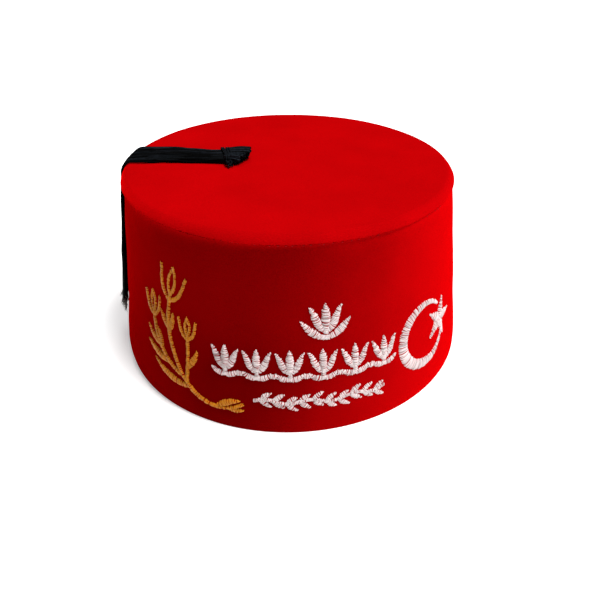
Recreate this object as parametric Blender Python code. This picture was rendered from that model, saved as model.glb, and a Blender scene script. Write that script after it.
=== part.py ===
"""A low velvet fez with a thread tassel over its rim and embroidery on the front.

The hat stands on its lower edge. The origin is the centre of that edge, +Z is up,
and the embroidered front faces -Y, so the tassel hangs down the -X side.
Lengths are in metres; MM turns millimetres into metres.
"""

import math
from collections import namedtuple

import bmesh
import bpy
from mathutils import Vector
from mathutils.geometry import delaunay_2d_cdt

MM = 0.001

# The crown: a tapered wall, closed by a flat top with a softly rolled rim.
BASE_RADIUS = 95.0 * MM
TOP_RADIUS = 83.0 * MM          # where the wall's line meets the plane of the top
HEIGHT = 96.7 * MM
WALL = 2.7 * MM                 # stiffened cloth, velvet included
WAIST = 1.2 * MM                # how far the wall draws in from its cone under the rolled rim
WAIST_FROM = 46.0 * MM          # and from which height up
SIDE_RISE = 0.0170              # the -X side stands higher, by this share of the distance from the middle
LOWER_EDGE_ROUND = 0.6 * MM
SEAM_HEIGHT = HEIGHT - 3.8 * MM     # of the seam between the wall and the top
SEAM_ROUND = 0.5 * MM           # both pieces round off into the seam
RIM_CORNER = 82.8 * MM          # radius of the corner that the rolled rim bends round
RIM_INWARD = 3.6 * MM           # how far in from there the top is flat
RIM_FULLNESS = 0.46             # how far the roll reaches into the corner
RIM_STEPS = 5
LIP_SLOPE = 0.6 * MM            # the inside of the rim slopes in by this much
GAP = 0.3 * MM                  # between pieces that touch on the real hat
ROUND_STEPS = 80                # sides of the crown

# The tassel. It lies on the top along -X, bends over the rim and hangs down the wall.
TASSEL_LINE_Y = 2.7 * MM        # the line that the tassel's sections are measured from
NECK = 31.0 * MM                # from the hat's axis to the neck
HEAD_LENGTH = 12.0 * MM
HEAD_DRIFT = -1.4 * MM          # how far its end lies to the -Y side of the neck
HEAD_CUT = 0.40                 # share of its length that the head lacks at its -Y side
HANG_TO = 16.5 * MM             # the longest lock ends this far above the ground
RAGGED = 8.0 * MM               # the shortest lock ends this much higher
BODY_ENDS_AT = 50.0 * MM        # height below which the locks hang apart
LOCKS = 10
LOCK_HALF_WIDTH = 1.5 * MM
LOCK_HALF_HEIGHT = 1.1 * MM
LOCK_FAN = 2.0 * MM             # how far the outermost locks swing out
LOCK_STAND_OFF = 2.0 * MM       # how far from the wall the freest lock's end swings
LOCK_RISE = 1.7 * MM            # height of a lock's middle over the wall where it leaves the bundle
LOCK_RIDGE = 0.13               # depth of the grooves between locks, as a share of the thickness
LOOPS = 7                       # the head's looped threads, in bunches
LOOP_HALF_WIDTH = 1.5 * MM
LOOP_HALF_HEIGHT = 1.3 * MM
LOOP_SWELL = 0.4 * MM           # more than that halfway along
LOOP_STEP = 0.5 * MM            # every second loop lies this much higher
HEAD_FAN = (5.9 * MM, 7.2 * MM)     # from the head's middle to its side, at its root and its end
HEAD_RISE = (2.2 * MM, 2.0 * MM)    # height of the loops' middles, likewise

# The binding that ties the neck.
BINDING_WIDTH = 3.6 * MM
BINDING_THREAD = 1.1 * MM
BINDING_TURNS = 3
KNOT_LENGTH = 6.4 * MM
KNOT_WIDTH = 3.2 * MM
KNOT_HEIGHT = 2.2 * MM

# Embroidery. Places on the wall are given flat, in millimetres: `along` is measured
# round the wall from the front towards +X at EMBROIDERY_RADIUS, `up` from the ground.
EMBROIDERY_RADIUS = 91.0 * MM
EMBROIDERY_RAISE = 0.7 * MM
THINNEST = 0.5                  # no stroke is thinner than this, in millimetres
MERGED_CORNERS = 0.12           # corners of the fused outline nearer than this become one

CRESCENT_CENTRE = (69.5, 33.2)
CRESCENT_RADIUS = 17.9
CRESCENT_HOLLOW_SHIFT = (2.1, 0.7)
CRESCENT_HOLLOW_RADIUS = 14.1
CRESCENT_OPENING = 24.0         # degrees from the opening's middle to each tip
STAR_CENTRE = (84.0, 35.3)
STAR_RAYS = 5
STAR_RADIUS = 11.6
STAR_WAIST = 4.6                # radius of the corners between the rays
STAR_TURN = 1.0                 # degrees, of the ray nearest to +along

Stem = namedtuple("Stem", "along up heading length turn root_width tip_width steps")
SideLeaf = namedtuple("SideLeaf", "stem share side lean length turn width")
Flower = namedtuple("Flower", "stem height line")

GOLD_STEMS = {
    "middle": Stem(-48.0, 15.5, 140, 47, -64, 2.3, 1.9, 8),
    "left": Stem(-54.8, 21.6, 164, 33, -72, 2.1, 1.7, 6),
    "right": Stem(-51.8, 18.5, 86, 23, 4, 2.0, 1.6, 3),
    "trailing": Stem(-48.8, 16.1, -40, 28, 76, 2.3, 1.3, 6),
}
GOLD_FLOWERS = (
    Flower("middle", 16.5, 1.8),
    Flower("left", 12.0, 1.6),
    Flower("right", 10.5, 1.5),
)
GOLD_LEAVES = (
    SideLeaf("middle", 0.04, 1, 50, 25, 44, 4.0),
    SideLeaf("middle", 0.64, -1, 38, 11, 30, 2.8),
    SideLeaf("middle", 0.68, 1, 38, 10, 24, 2.6),
    SideLeaf("left", 0.24, 1, 34, 18, 36, 3.6),
    SideLeaf("left", 0.52, 1, 38, 13, 40, 3.0),
    SideLeaf("left", 0.50, -1, 34, 10, 24, 2.6),
    SideLeaf("right", 0.35, -1, 38, 12, 24, 3.0),
    SideLeaf("trailing", 0.50, 1, 42, 13, 30, 3.2),
    SideLeaf("trailing", 0.70, -1, 26, 8, 24, 2.4),
)

PALMETTE_FOOT = (15.0, 49.0)
PALMETTE_HEIGHT = 17.0
PALMETTE_LEAF = 15.0
BORDER_FIRST = -31.3            # where the first tulip of the border stands
BORDER_PITCH = 14.9
BORDER_TULIPS = 6
BORDER_FOOT = 29.8
BORDER_HEIGHT = 15.0
BORDER_LEAF = 8.0
BORDER_BEAD = 2.6
GARLAND_FROM = -18.0
GARLAND_TO = 42.5
GARLAND_UP = 18.2
GARLAND_WAVE = 1.0
GARLAND_PERIOD = 20.0
GARLAND_LEAF_PITCH = 5.8
GARLAND_LEAF = 6.0


# ---------------------------------------------------------------- general helpers

def clear_scene():
    for thing in list(bpy.data.objects):
        bpy.data.objects.remove(thing, do_unlink=True)


def material(name, colour, roughness):
    made = bpy.data.materials.new(name)
    made.use_nodes = True
    made.diffuse_color = (*colour, 1.0)
    shader = made.node_tree.nodes["Principled BSDF"]
    shader.inputs["Base Color"].default_value = (*colour, 1.0)
    shader.inputs["Roughness"].default_value = roughness
    shader.inputs["Metallic"].default_value = 0.0
    return made


def smooth(share):
    """0 to 1 with soft ends, clamped outside."""
    share = min(max(share, 0.0), 1.0)
    return share * share * (3.0 - 2.0 * share)


def between(low, high, share):
    return low + (high - low) * share


def leaned(point):
    """The crown was made a little out of level: its -X side is the taller."""
    x, y, z = point
    return Vector((x, y, z * (1.0 - SIDE_RISE * x / HEIGHT)))


def add_object(name, mesh_maker, finish, sharp_degrees=40.0):
    """mesh_maker fills a bmesh with a closed solid, and it becomes the named object."""
    bm = bmesh.new()
    mesh_maker(bm)
    bmesh.ops.recalc_face_normals(bm, faces=bm.faces[:])
    mesh = bpy.data.meshes.new(name)
    bm.to_mesh(mesh)
    bm.free()
    mesh.shade_smooth()
    mesh.set_sharp_from_angle(angle=math.radians(sharp_degrees))
    mesh.materials.append(finish)
    made = bpy.data.objects.new(name, mesh)
    bpy.context.scene.collection.objects.link(made)
    return made


def add_rings(bm, rings):
    """A closed solid through rings of equal length, with its two ends filled."""
    made = [[bm.verts.new(point) for point in ring] for ring in rings]
    count = len(made[0])
    for low, high in zip(made, made[1:]):
        for i in range(count):
            j = (i + 1) % count
            bm.faces.new((low[i], low[j], high[j], high[i]))
    for ring in (made[0], made[-1]):
        middle = bm.verts.new(sum((v.co for v in ring), Vector()) / count)
        for i in range(count):
            bm.faces.new((ring[i], ring[(i + 1) % count], middle))


def add_loop_of_rings(bm, rings):
    """A closed ring-shaped solid: the last ring joins the first."""
    made = [[bm.verts.new(point) for point in ring] for ring in rings]
    count = len(made[0])
    for low, high in zip(made, made[1:] + made[:1]):
        for i in range(count):
            j = (i + 1) % count
            bm.faces.new((low[i], low[j], high[j], high[i]))


# ---------------------------------------------------------------- the crown

def cone_radius(z):
    return between(BASE_RADIUS, TOP_RADIUS, z / HEIGHT)


def wall_radius(z):
    """The wall is a cone that draws in a little more towards the rim."""
    drawn_in = WAIST * max((z - WAIST_FROM) / (SEAM_HEIGHT - WAIST_FROM), 0.0) ** 1.5
    return cone_radius(z) - drawn_in


def rim_profile():
    """(radius, height) from the seam, up over the rolled rim, to where the top is flat."""
    corner = Vector((RIM_CORNER, HEIGHT))
    start = Vector((cone_radius(SEAM_HEIGHT), SEAM_HEIGHT))
    end = Vector((RIM_CORNER - RIM_INWARD, HEIGHT))
    pull_start = start.lerp(corner, RIM_FULLNESS)
    pull_end = end.lerp(corner, RIM_FULLNESS)
    points = []
    for step in range(RIM_STEPS + 1):
        t = step / RIM_STEPS
        points.append(
            start * (1 - t) ** 3
            + pull_start * 3 * t * (1 - t) ** 2
            + pull_end * 3 * t * t * (1 - t)
            + end * t ** 3
        )
    return [tuple(p) for p in points]


def ring_at(azimuth, profile):
    return [
        leaned((r * math.cos(azimuth), r * math.sin(azimuth), z)) for r, z in profile
    ]


def crown_side(bm):
    """The wall, a tapered ring that stands on its lower edge."""
    top = SEAM_HEIGHT - GAP / 2
    edge = LOWER_EDGE_ROUND
    waist_middle = between(WAIST_FROM, top, 0.6)
    profile = [
        (BASE_RADIUS - edge, 0.0),
        (wall_radius(0.3 * edge) - 0.25 * edge, 0.25 * edge),
        (wall_radius(edge), edge),
        (wall_radius(WAIST_FROM), WAIST_FROM),
        (wall_radius(waist_middle), waist_middle),
        (wall_radius(top - SEAM_ROUND), top - SEAM_ROUND),
        (wall_radius(top) - SEAM_ROUND, top),
        (wall_radius(top) - WALL, top),
        (wall_radius(WAIST_FROM) - WALL, WAIST_FROM),
        (wall_radius(edge) - WALL, edge),
        (BASE_RADIUS - WALL + edge, 0.0),
    ]
    steps = [2 * math.pi * i / ROUND_STEPS for i in range(ROUND_STEPS)]
    add_loop_of_rings(bm, [ring_at(a, profile) for a in steps])


def crown_top(bm):
    """The top, a stiffened disc whose rim is rolled down to the seam."""
    bottom = SEAM_HEIGHT + GAP / 2
    lip_radius = wall_radius(bottom) - WALL
    under = HEIGHT - WALL
    outside = [
        (cone_radius(bottom) - SEAM_ROUND, bottom),
        (cone_radius(bottom + SEAM_ROUND), bottom + SEAM_ROUND),
        *rim_profile()[1:],
    ]
    inside = [(lip_radius, bottom), (lip_radius - LIP_SLOPE, under)]
    steps = [2 * math.pi * i / ROUND_STEPS for i in range(ROUND_STEPS)]
    outer_rings = [[bm.verts.new(p) for p in ring_at(a, outside)] for a in steps]
    inner_rings = [[bm.verts.new(p) for p in ring_at(a, inside)] for a in steps]
    top_middle = bm.verts.new(leaned((0.0, 0.0, HEIGHT)))
    under_middle = bm.verts.new(leaned((0.0, 0.0, under)))
    for i in range(ROUND_STEPS):
        j = (i + 1) % ROUND_STEPS
        outer, next_outer = outer_rings[i], outer_rings[j]
        inner, next_inner = inner_rings[i], inner_rings[j]
        for k in range(len(outer) - 1):
            bm.faces.new((outer[k], next_outer[k], next_outer[k + 1], outer[k + 1]))
        bm.faces.new((outer[-1], next_outer[-1], top_middle))
        bm.faces.new((inner[0], next_inner[0], next_outer[0], outer[0]))
        bm.faces.new((inner[1], next_inner[1], next_inner[0], inner[0]))
        bm.faces.new((next_inner[1], inner[1], under_middle))


# ---------------------------------------------------------------- the tassel

# What the tassel lies on: (radius, height) of the top, the roll, and the wall's cone below it.
HAT_LINE = [Vector(p) for p in [(0.0, HEIGHT), *rim_profile()[::-1], (BASE_RADIUS, 0.0)]]


def on_hat(distance, across, height):
    """A point of the tassel.

    distance runs from the hat's axis out along the top, over the rim and down the wall;
    across is +Y of TASSEL_LINE_Y; height is above the cloth.
    """
    left = distance
    for k, (a, b) in enumerate(zip(HAT_LINE, HAT_LINE[1:])):
        length = (b - a).length
        if left <= length or k == len(HAT_LINE) - 2:
            break
        left -= length
    share = left / length
    place = a.lerp(b, share)
    before = normal_at(k)
    after = normal_at(k + 1)
    normal = before.lerp(after, min(max(share, 0.0), 1.0)).normalized()
    radius, z = place + normal * (height + GAP)
    y = TASSEL_LINE_Y + across
    rounding = smooth((radius - 0.6 * TOP_RADIUS) / (0.34 * TOP_RADIUS))
    round_x = math.sqrt(max(radius * radius - y * y, 0.0))
    return leaned((-between(radius, round_x, rounding), y, z))


def normal_at(corner):
    """The outward direction at a corner of HAT_LINE, halfway between its two sides."""
    sides = []
    for a, b in zip(HAT_LINE, HAT_LINE[1:]):
        along = (b - a).normalized()
        sides.append(Vector((-along.y, along.x)))
    if corner == 0:
        return sides[0]
    if corner == len(HAT_LINE) - 1:
        return sides[-1]
    return (sides[corner - 1] + sides[corner]).normalized()


def corner_distances():
    """How far along HAT_LINE each corner of the rolled rim lies."""
    distances, total = [], 0.0
    for a, b in zip(HAT_LINE[:-2], HAT_LINE[1:-1]):
        total += (b - a).length
        distances.append(total)
    return distances


HAT_LINE_CORNERS = corner_distances()
RIM_START = HAT_LINE_CORNERS[0]
WALL_START = HAT_LINE_CORNERS[-1]
WALL_LENGTH = (HAT_LINE[-1] - HAT_LINE[-2]).length


def down_to(z):
    """The distance along the tassel's line at which the wall is z above the ground."""
    return WALL_START + WALL_LENGTH * (1.0 - z / SEAM_HEIGHT)


Section = namedtuple("Section", "distance middle half_width thickness lift")

# The tied threads from the neck to where the locks part: middle is measured across,
# lift is the clearance under the threads, where the binding passes.
TASSEL_SECTIONS = (
    Section(NECK - 8.0 * MM, -1.0 * MM, 7.4 * MM, 2.8 * MM, 0.6 * MM),
    Section(NECK - 3.0 * MM, -1.0 * MM, 7.4 * MM, 2.8 * MM, 0.8 * MM),
    Section(NECK, -1.0 * MM, 7.1 * MM, 2.8 * MM, 0.8 * MM),
    Section(NECK + 3.0 * MM, -0.7 * MM, 7.3 * MM, 2.8 * MM, 0.8 * MM),
    Section(NECK + 9.0 * MM, 0.5 * MM, 8.0 * MM, 2.8 * MM, 0.2 * MM),
    Section(NECK + 18.0 * MM, 2.1 * MM, 8.9 * MM, 2.6 * MM, 0.0),
    Section(NECK + 34.0 * MM, 3.9 * MM, 10.2 * MM, 2.0 * MM, 0.0),
    Section(RIM_START, 5.2 * MM, 11.0 * MM, 1.2 * MM, 0.0),
    Section(WALL_START + 2.0 * MM, 4.4 * MM, 11.8 * MM, 1.0 * MM, 0.0),
    Section(down_to(80.0 * MM), 1.8 * MM, 12.6 * MM, 1.2 * MM, 0.0),
    Section(down_to(66.0 * MM), 0.5 * MM, 13.6 * MM, 1.8 * MM, 0.1 * MM),
    Section(down_to(BODY_ENDS_AT), -0.4 * MM, 14.2 * MM, 2.5 * MM, 0.4 * MM),
)


def section_at(distance):
    """Sizes between the named sections, eased from each to the next."""
    rows = TASSEL_SECTIONS
    if distance <= rows[0].distance:
        return rows[0]
    for a, b in zip(rows, rows[1:]):
        if distance <= b.distance:
            share = (distance - a.distance) / (b.distance - a.distance)
            return Section(*(between(p, q, share) for p, q in zip(a, b)))
    return rows[-1]


def bundle_outline(distance):
    """(across, height) round the tied threads: flat below, a low ridge for each lock above."""
    size = section_at(distance)
    points = []
    top_steps = LOCKS * 2
    for i in range(top_steps + 1):
        angle = math.pi * i / top_steps
        ridge = 1.0 - LOCK_RIDGE * abs(math.cos(LOCKS * angle))
        across = size.middle + size.half_width * math.cos(angle)
        height = size.thickness * ridge * (0.30 + 0.70 * math.sin(angle) ** 0.6)
        points.append(Vector((across, size.lift + height)))
    under_steps = 6
    for i in range(under_steps + 1):
        share = between(-0.93, 0.93, i / under_steps)
        points.append(Vector((size.middle + size.half_width * share, size.lift)))
    return points


def widened(outline, out):
    """The outline moved outwards by `out`."""
    moved = []
    for i, point in enumerate(outline):
        along = (outline[(i + 1) % len(outline)] - outline[i - 1]).normalized()
        moved.append(point + Vector((along.y, -along.x)) * out)
    return moved


def bundle(bm):
    """The threads from the neck, over the rim, to where the locks part."""
    stops = [row.distance for row in TASSEL_SECTIONS if row.distance < RIM_START]
    stops += HAT_LINE_CORNERS
    stops += [down_to(80.0 * MM), down_to(66.0 * MM), down_to(BODY_ENDS_AT)]
    add_rings(bm, [[on_hat(d, *point) for point in bundle_outline(d)] for d in stops])


def strand_ring(distance, across, height, half_width, half_height, sides=8):
    """An oval ring round one lock or loop."""
    points = []
    for k in range(sides):
        angle = 2 * math.pi * k / sides
        points.append(
            on_hat(
                distance,
                across + half_width * math.cos(angle),
                max(height + half_height * math.sin(angle), 0.0),
            )
        )
    return points


def hanging_locks(bm):
    """Locks that leave the bundle on the wall, fan out and end at ragged heights."""
    start = down_to(BODY_ENDS_AT) - 7.0 * MM
    size = section_at(start)
    for k in range(LOCKS):
        share = (k + 0.5) / LOCKS * 2.0 - 1.0
        ragged = 0.5 + 0.5 * math.sin(2.7 * k + 0.6)
        end = down_to(HANG_TO + RAGGED * ragged)
        spread = 1.0 + 0.16 * math.sin(1.9 * k)
        rings = []
        steps = 5
        for step in range(steps + 1):
            t = step / steps
            distance = between(start, end, t)
            fan = (0.86 * size.half_width + LOCK_FAN * t * spread) * share
            taper = 1.0 - 0.62 * t ** 3
            half_width = LOCK_HALF_WIDTH * (1.0 - 0.17 * t) * taper
            half_height = LOCK_HALF_HEIGHT * (1.0 + 0.35 * math.sin(math.pi * t)) * taper
            swing = LOCK_STAND_OFF * t * t * (0.55 + 0.45 * math.cos(1.3 * k))
            height = LOCK_RISE + swing
            rings.append(strand_ring(distance, size.middle + fan, height, half_width, half_height))
        add_rings(bm, rings)


LOOPS_START = NECK - BINDING_WIDTH / 2 - GAP - 0.2 * MM


def head_loops(bm):
    """The looped ends of the threads, a fan of rounded bunches behind the neck."""
    for k in range(LOOPS):
        share = (k + 0.5) / LOOPS * 2.0 - 1.0
        upper = k % 2
        length = HEAD_LENGTH * (1.0 - HEAD_CUT * max(-share, 0.0) - 0.06 * upper)
        rings = []
        steps = 5
        for step in range(steps + 1):
            t = step / steps
            round_end = math.sqrt(max(1.0 - max((t - 0.62) / 0.40, 0.0) ** 2, 0.0))
            swell = LOOP_SWELL * math.sin(math.pi * t)
            distance = between(LOOPS_START, NECK - length, t)
            across = section_at(NECK).middle + between(*HEAD_FAN, t) * share + HEAD_DRIFT * t
            half_width = (LOOP_HALF_WIDTH + swell) * round_end
            half_height = (LOOP_HALF_HEIGHT + swell) * round_end
            height = between(*HEAD_RISE, t) + LOOP_STEP * upper
            rings.append(strand_ring(distance, across, height, half_width, half_height))
        add_rings(bm, rings)


def fuse_in(body, name, mesh_maker, finish):
    """Join the named shape to body, whose own pieces may overlap."""
    part = add_object(name, mesh_maker, finish)
    part.hide_render = True
    part.display_type = "WIRE"
    fuse = body.modifiers.new(name, "BOOLEAN")
    fuse.operation = "UNION"
    fuse.solver = "EXACT"
    fuse.use_self = True
    fuse.object = part


def add_tassel(finish):
    """The head, the bundle and the locks, fused into one piece."""
    body = add_object("tassel", bundle, finish)
    fuse_in(body, "tassel_locks", hanging_locks, finish)
    fuse_in(body, "tassel_loops", head_loops, finish)


def binding(bm):
    """Thread wound round the neck in a few turns."""
    shells = []
    steps = BINDING_TURNS * 2
    for k in range(steps + 1):
        share = k / steps
        ridge = 0.55 + 0.45 * abs(math.sin(math.pi * BINDING_TURNS * share))
        shells.append((share, GAP + BINDING_THREAD * ridge))
    shells += [(share, GAP) for share in (1.0, 0.5, 0.0)]
    sides = []
    for share, out in shells:
        distance = NECK + BINDING_WIDTH * (share - 0.5)
        outline = widened(bundle_outline(distance), out)
        sides.append([on_hat(distance, across, max(height, 0.0)) for across, height in outline])
    add_loop_of_rings(bm, [list(ring) for ring in zip(*sides)])


def knot(bm):
    """The binding's knot, a small bud beside the neck."""
    rings = []
    steps = 6
    start = section_at(NECK).half_width - section_at(NECK).middle
    for step in range(steps + 1):
        t = step / steps
        swell = math.sqrt(max(1.0 - (2.0 * t - 1.0) ** 2 * 0.93, 0.0))
        across = -(start + 0.9 * MM + KNOT_LENGTH * t * 0.86)
        ring = []
        for k in range(8):
            angle = 2 * math.pi * k / 8
            ring.append(
                on_hat(
                    NECK - 2.6 * MM * t + 0.5 * KNOT_WIDTH * swell * math.cos(angle),
                    across,
                    0.5 * KNOT_HEIGHT * (1.0 + swell * math.sin(angle)) + 0.3 * MM * (1.0 - t),
                )
            )
        rings.append(ring)
    add_rings(bm, rings)


def add_binding(finish):
    """The winding and its knot, fused into one piece."""
    body = add_object("tassel_binding", binding, finish)
    fuse_in(body, "binding_knot", knot, finish)


# ---------------------------------------------------------------- the embroidery

def heading_point(place, heading, length):
    angle = math.radians(heading)
    return (place[0] + length * math.cos(angle), place[1] + length * math.sin(angle))


def sweep(start, heading, length, turn=0.0, flare=0.0, steps=6):
    """Points of a line that turns steadily, and flares by a further angle near its tip."""
    points = [start]
    for i in range(steps):
        t = (i + 0.5) / steps
        points.append(heading_point(points[-1], heading + turn * t + flare * t ** 3, length / steps))
    return points


def even(root_width, tip_width):
    """Width of a plain line from root to tip."""
    return lambda t: between(root_width, tip_width, t)


def leaf(width, root_width=1.4, fullest=0.45):
    """Width of a pointed leaf or petal."""
    def at(t):
        if t < fullest:
            return between(root_width, width, math.sin(t / fullest * math.pi / 2))
        return width * math.sin((1.0 - t) / (1.0 - fullest) * math.pi / 2) ** 0.8
    return at


def stroke(points, width):
    """The flat quads that a line of the given width covers."""
    last = len(points) - 1
    left, right = [], []
    for i, (s, z) in enumerate(points):
        before, after = points[max(i - 1, 0)], points[min(i + 1, last)]
        ds, dz = after[0] - before[0], after[1] - before[1]
        half = max(width(i / last), THINNEST) / 2 / math.hypot(ds, dz)
        left.append((s - dz * half, z + ds * half))
        right.append((s + dz * half, z - ds * half))
    return [(right[i], right[i + 1], left[i + 1], left[i]) for i in range(last)]


def end_heading(points):
    (s0, z0), (s1, z1) = points[-2:]
    return math.degrees(math.atan2(z1 - z0, s1 - s0))


def outlined_tulip(foot, heading, height, line):
    """Two outer petals that flare at their tips, round a pointed heart, all in outline."""
    quads = []
    heart = heading_point(foot, heading, 0.18 * height)
    for side in (1, -1):
        outer = sweep(foot, heading + side * 68, 1.12 * height, -side * 112, side * 62, 7)
        inner = sweep(heart, heading + side * 33, 0.92 * height, -side * 70, 0, 5)
        quads += stroke(outer, even(line, 0.8 * line))
        quads += stroke(inner, even(0.9 * line, 0.8 * line))
    quads += stroke([foot, heart], even(line, 0.9 * line))
    return quads


def filled_tulip(foot, height, middle_share=0.24, side_share=0.21):
    """Three filled petals on a short stalk, standing upright."""
    stalk = [(foot[0], foot[1] - 0.22 * height), (foot[0], foot[1] + 0.1 * height)]
    quads = stroke(stalk, even(2.0, 2.0))
    for side in (1, -1):
        petal = sweep(foot, 90 - side * 56, 0.85 * height, side * 84, -side * 70, 5)
        quads += stroke(petal, leaf(side_share * height, fullest=0.42))
    middle = sweep(foot, 90, 0.80 * height, steps=3)
    quads += stroke(middle, leaf(middle_share * height, fullest=0.5))
    return quads


def gold_spray():
    """Three tulips and their leaves, rising from one root, and a trailing stem."""
    quads = []
    lines = {}
    for name, row in GOLD_STEMS.items():
        lines[name] = sweep((row.along, row.up), row.heading, row.length, row.turn, 0, row.steps)
        quads += stroke(lines[name], even(row.root_width, row.tip_width))
    for row in GOLD_FLOWERS:
        line = lines[row.stem]
        quads += outlined_tulip(line[-1], end_heading(line), row.height, row.line)
    for row in GOLD_LEAVES:
        stem = GOLD_STEMS[row.stem]
        reach = sweep((stem.along, stem.up), stem.heading, stem.length, stem.turn, 0, 40)
        root = reach[round(row.share * 40)]
        heading = stem.heading + stem.turn * row.share + row.side * row.lean
        blade = sweep(root, heading, row.length, -row.side * row.turn)
        quads += stroke(blade, leaf(row.width, fullest=0.42))
    return quads


def white_palmette():
    """A tulip between two long leaves."""
    foot_s, foot_z = PALMETTE_FOOT
    quads = filled_tulip((foot_s, foot_z + 3.8), PALMETTE_HEIGHT)
    for side in (1, -1):
        root = (foot_s - 0.4 * side, foot_z + 0.8)
        blade = sweep(root, 90 - side * 80, PALMETTE_LEAF, side * 66, -side * 26)
        quads += stroke(blade, leaf(3.5, 1.8, 0.5))
    return quads


def white_border():
    """A row of tulips linked by their leaves, with a bead between each two."""
    quads = []
    for k in range(BORDER_TULIPS):
        foot = (BORDER_FIRST + BORDER_PITCH * k, BORDER_FOOT)
        quads += filled_tulip((foot[0], foot[1] + 2.8), BORDER_HEIGHT)
        for side in (1, -1):
            start = (foot[0] - 0.4 * side, foot[1] + 0.2)
            blade = sweep(start, 90 - side * 104, BORDER_LEAF, side * 70, 0, 4)
            quads += stroke(blade, leaf(2.7, 1.8, 0.45))
    for k in range(BORDER_TULIPS - 1):
        left = (BORDER_FIRST + BORDER_PITCH * (k + 0.5) - BORDER_BEAD / 2, BORDER_FOOT + 1.5)
        quads += stroke([left, (left[0] + BORDER_BEAD, left[1])], even(2.2, 2.2))
    return quads


def white_garland():
    """A gently waving stem with pairs of leaves."""
    def wave(s):
        return GARLAND_UP + GARLAND_WAVE * math.sin(2 * math.pi * (s - GARLAND_FROM) / GARLAND_PERIOD)

    steps = 15
    places = [between(GARLAND_FROM, GARLAND_TO, i / steps) for i in range(steps + 1)]
    quads = stroke([(s, wave(s)) for s in places], even(1.7, 1.4))
    s = GARLAND_FROM + 3.0
    while s < GARLAND_TO - 1.0:
        for side in (1, -1):
            blade = sweep((s, wave(s)), side * 50, GARLAND_LEAF, -side * 30, 0, 3)
            quads += stroke(blade, leaf(2.5, 1.2, 0.5))
        s += GARLAND_LEAF_PITCH
    return quads


def crescent_and_star():
    """A crescent open to the right, and a five-pointed star in its opening."""
    centre_s, centre_z = CRESCENT_CENTRE
    shift_s, shift_z = CRESCENT_HOLLOW_SHIFT
    opening = math.degrees(math.atan2(shift_z, shift_s))
    steps = 26
    outer, inner = [], []
    for i in range(steps + 1):
        share = i / steps
        degrees = opening + between(CRESCENT_OPENING, 360.0 - CRESCENT_OPENING, share)
        outward = heading_point((0.0, 0.0), degrees, 1.0)
        towards = outward[0] * shift_s + outward[1] * shift_z
        reach = towards + math.sqrt(towards ** 2 - shift_s ** 2 - shift_z ** 2 + CRESCENT_HOLLOW_RADIUS ** 2)
        outer.append((centre_s + CRESCENT_RADIUS * outward[0], centre_z + CRESCENT_RADIUS * outward[1]))
        inner.append((centre_s + reach * outward[0], centre_z + reach * outward[1]))
    quads = [(outer[i], outer[i + 1], inner[i + 1], inner[i]) for i in range(steps)]
    for ray in range(STAR_RAYS):
        degrees = STAR_TURN + 360 / STAR_RAYS * ray
        tip = heading_point(STAR_CENTRE, degrees, STAR_RADIUS)
        right = heading_point(STAR_CENTRE, degrees - 180 / STAR_RAYS, STAR_WAIST)
        left = heading_point(STAR_CENTRE, degrees + 180 / STAR_RAYS, STAR_WAIST)
        quads.append((STAR_CENTRE, right, tip, left))
    return quads


def on_wall(place, out):
    """A flat place of the embroidery, wrapped onto the wall and `out` from it."""
    s, z = place[0] * MM, place[1] * MM
    azimuth = -math.pi / 2 + s / EMBROIDERY_RADIUS
    radius = wall_radius(z) + out
    return leaned((radius * math.cos(azimuth), radius * math.sin(azimuth), z))


def fused_outline(quads):
    """Points and triangles of the area that the quads cover together."""
    points, faces, index = [], [], {}
    for quad in quads:
        face = []
        for place in quad:
            key = (round(place[0], 4), round(place[1], 4))
            if key not in index:
                index[key] = len(points)
                points.append(Vector(key))
            face.append(index[key])
        faces.append(face)
    made, _, triangles, _, _, covered_by = delaunay_2d_cdt(points, [], faces, 0, 1e-4, True)
    kept = [tri for tri, covers in zip(triangles, covered_by) if covers]
    return made, kept


def raised(quads):
    """A mesh maker for the quads' area as a thin solid on the wall."""
    def maker(bm):
        places, triangles = fused_outline(quads)
        flat = bmesh.new()
        verts = [flat.verts.new((p.x, p.y, 0.0)) for p in places]
        for tri in triangles:
            flat.faces.new([verts[i] for i in tri])
        bmesh.ops.delete(flat, geom=[v for v in flat.verts if not v.link_faces], context="VERTS")
        bmesh.ops.remove_doubles(flat, verts=flat.verts[:], dist=MERGED_CORNERS)
        bmesh.ops.dissolve_degenerate(flat, edges=flat.edges[:], dist=0.02)
        bmesh.ops.triangulate(flat, faces=flat.faces[:])
        low, high = {}, {}
        for v in flat.verts:
            place = (v.co.x, v.co.y)
            low[v] = bm.verts.new(on_wall(place, GAP))
            high[v] = bm.verts.new(on_wall(place, GAP + EMBROIDERY_RAISE))
        for face in flat.faces:
            bm.faces.new([high[v] for v in face.verts])
            bm.faces.new([low[v] for v in reversed(face.verts)])
        for edge in flat.edges:
            if len(edge.link_faces) == 1:
                a, b = edge.verts
                bm.faces.new((low[a], low[b], high[b], high[a]))
        flat.free()
    return maker


def build():
    clear_scene()
    velvet = material("red_velvet", (0.62, 0.004, 0.008), 0.85)
    black = material("black_thread", (0.006, 0.006, 0.008), 0.45)
    gold = material("gold_thread", (0.58, 0.29, 0.05), 0.45)
    white = material("white_thread", (0.82, 0.76, 0.78), 0.5)
    add_object("crown_side", crown_side, velvet)
    add_object("crown_top", crown_top, velvet)
    add_tassel(black)
    add_binding(black)
    add_object("gold_spray", raised(gold_spray()), gold)
    add_object("white_palmette", raised(white_palmette()), white)
    add_object("white_border", raised(white_border()), white)
    add_object("white_garland", raised(white_garland()), white)
    add_object("crescent_and_star", raised(crescent_and_star()), white)


build()
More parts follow.
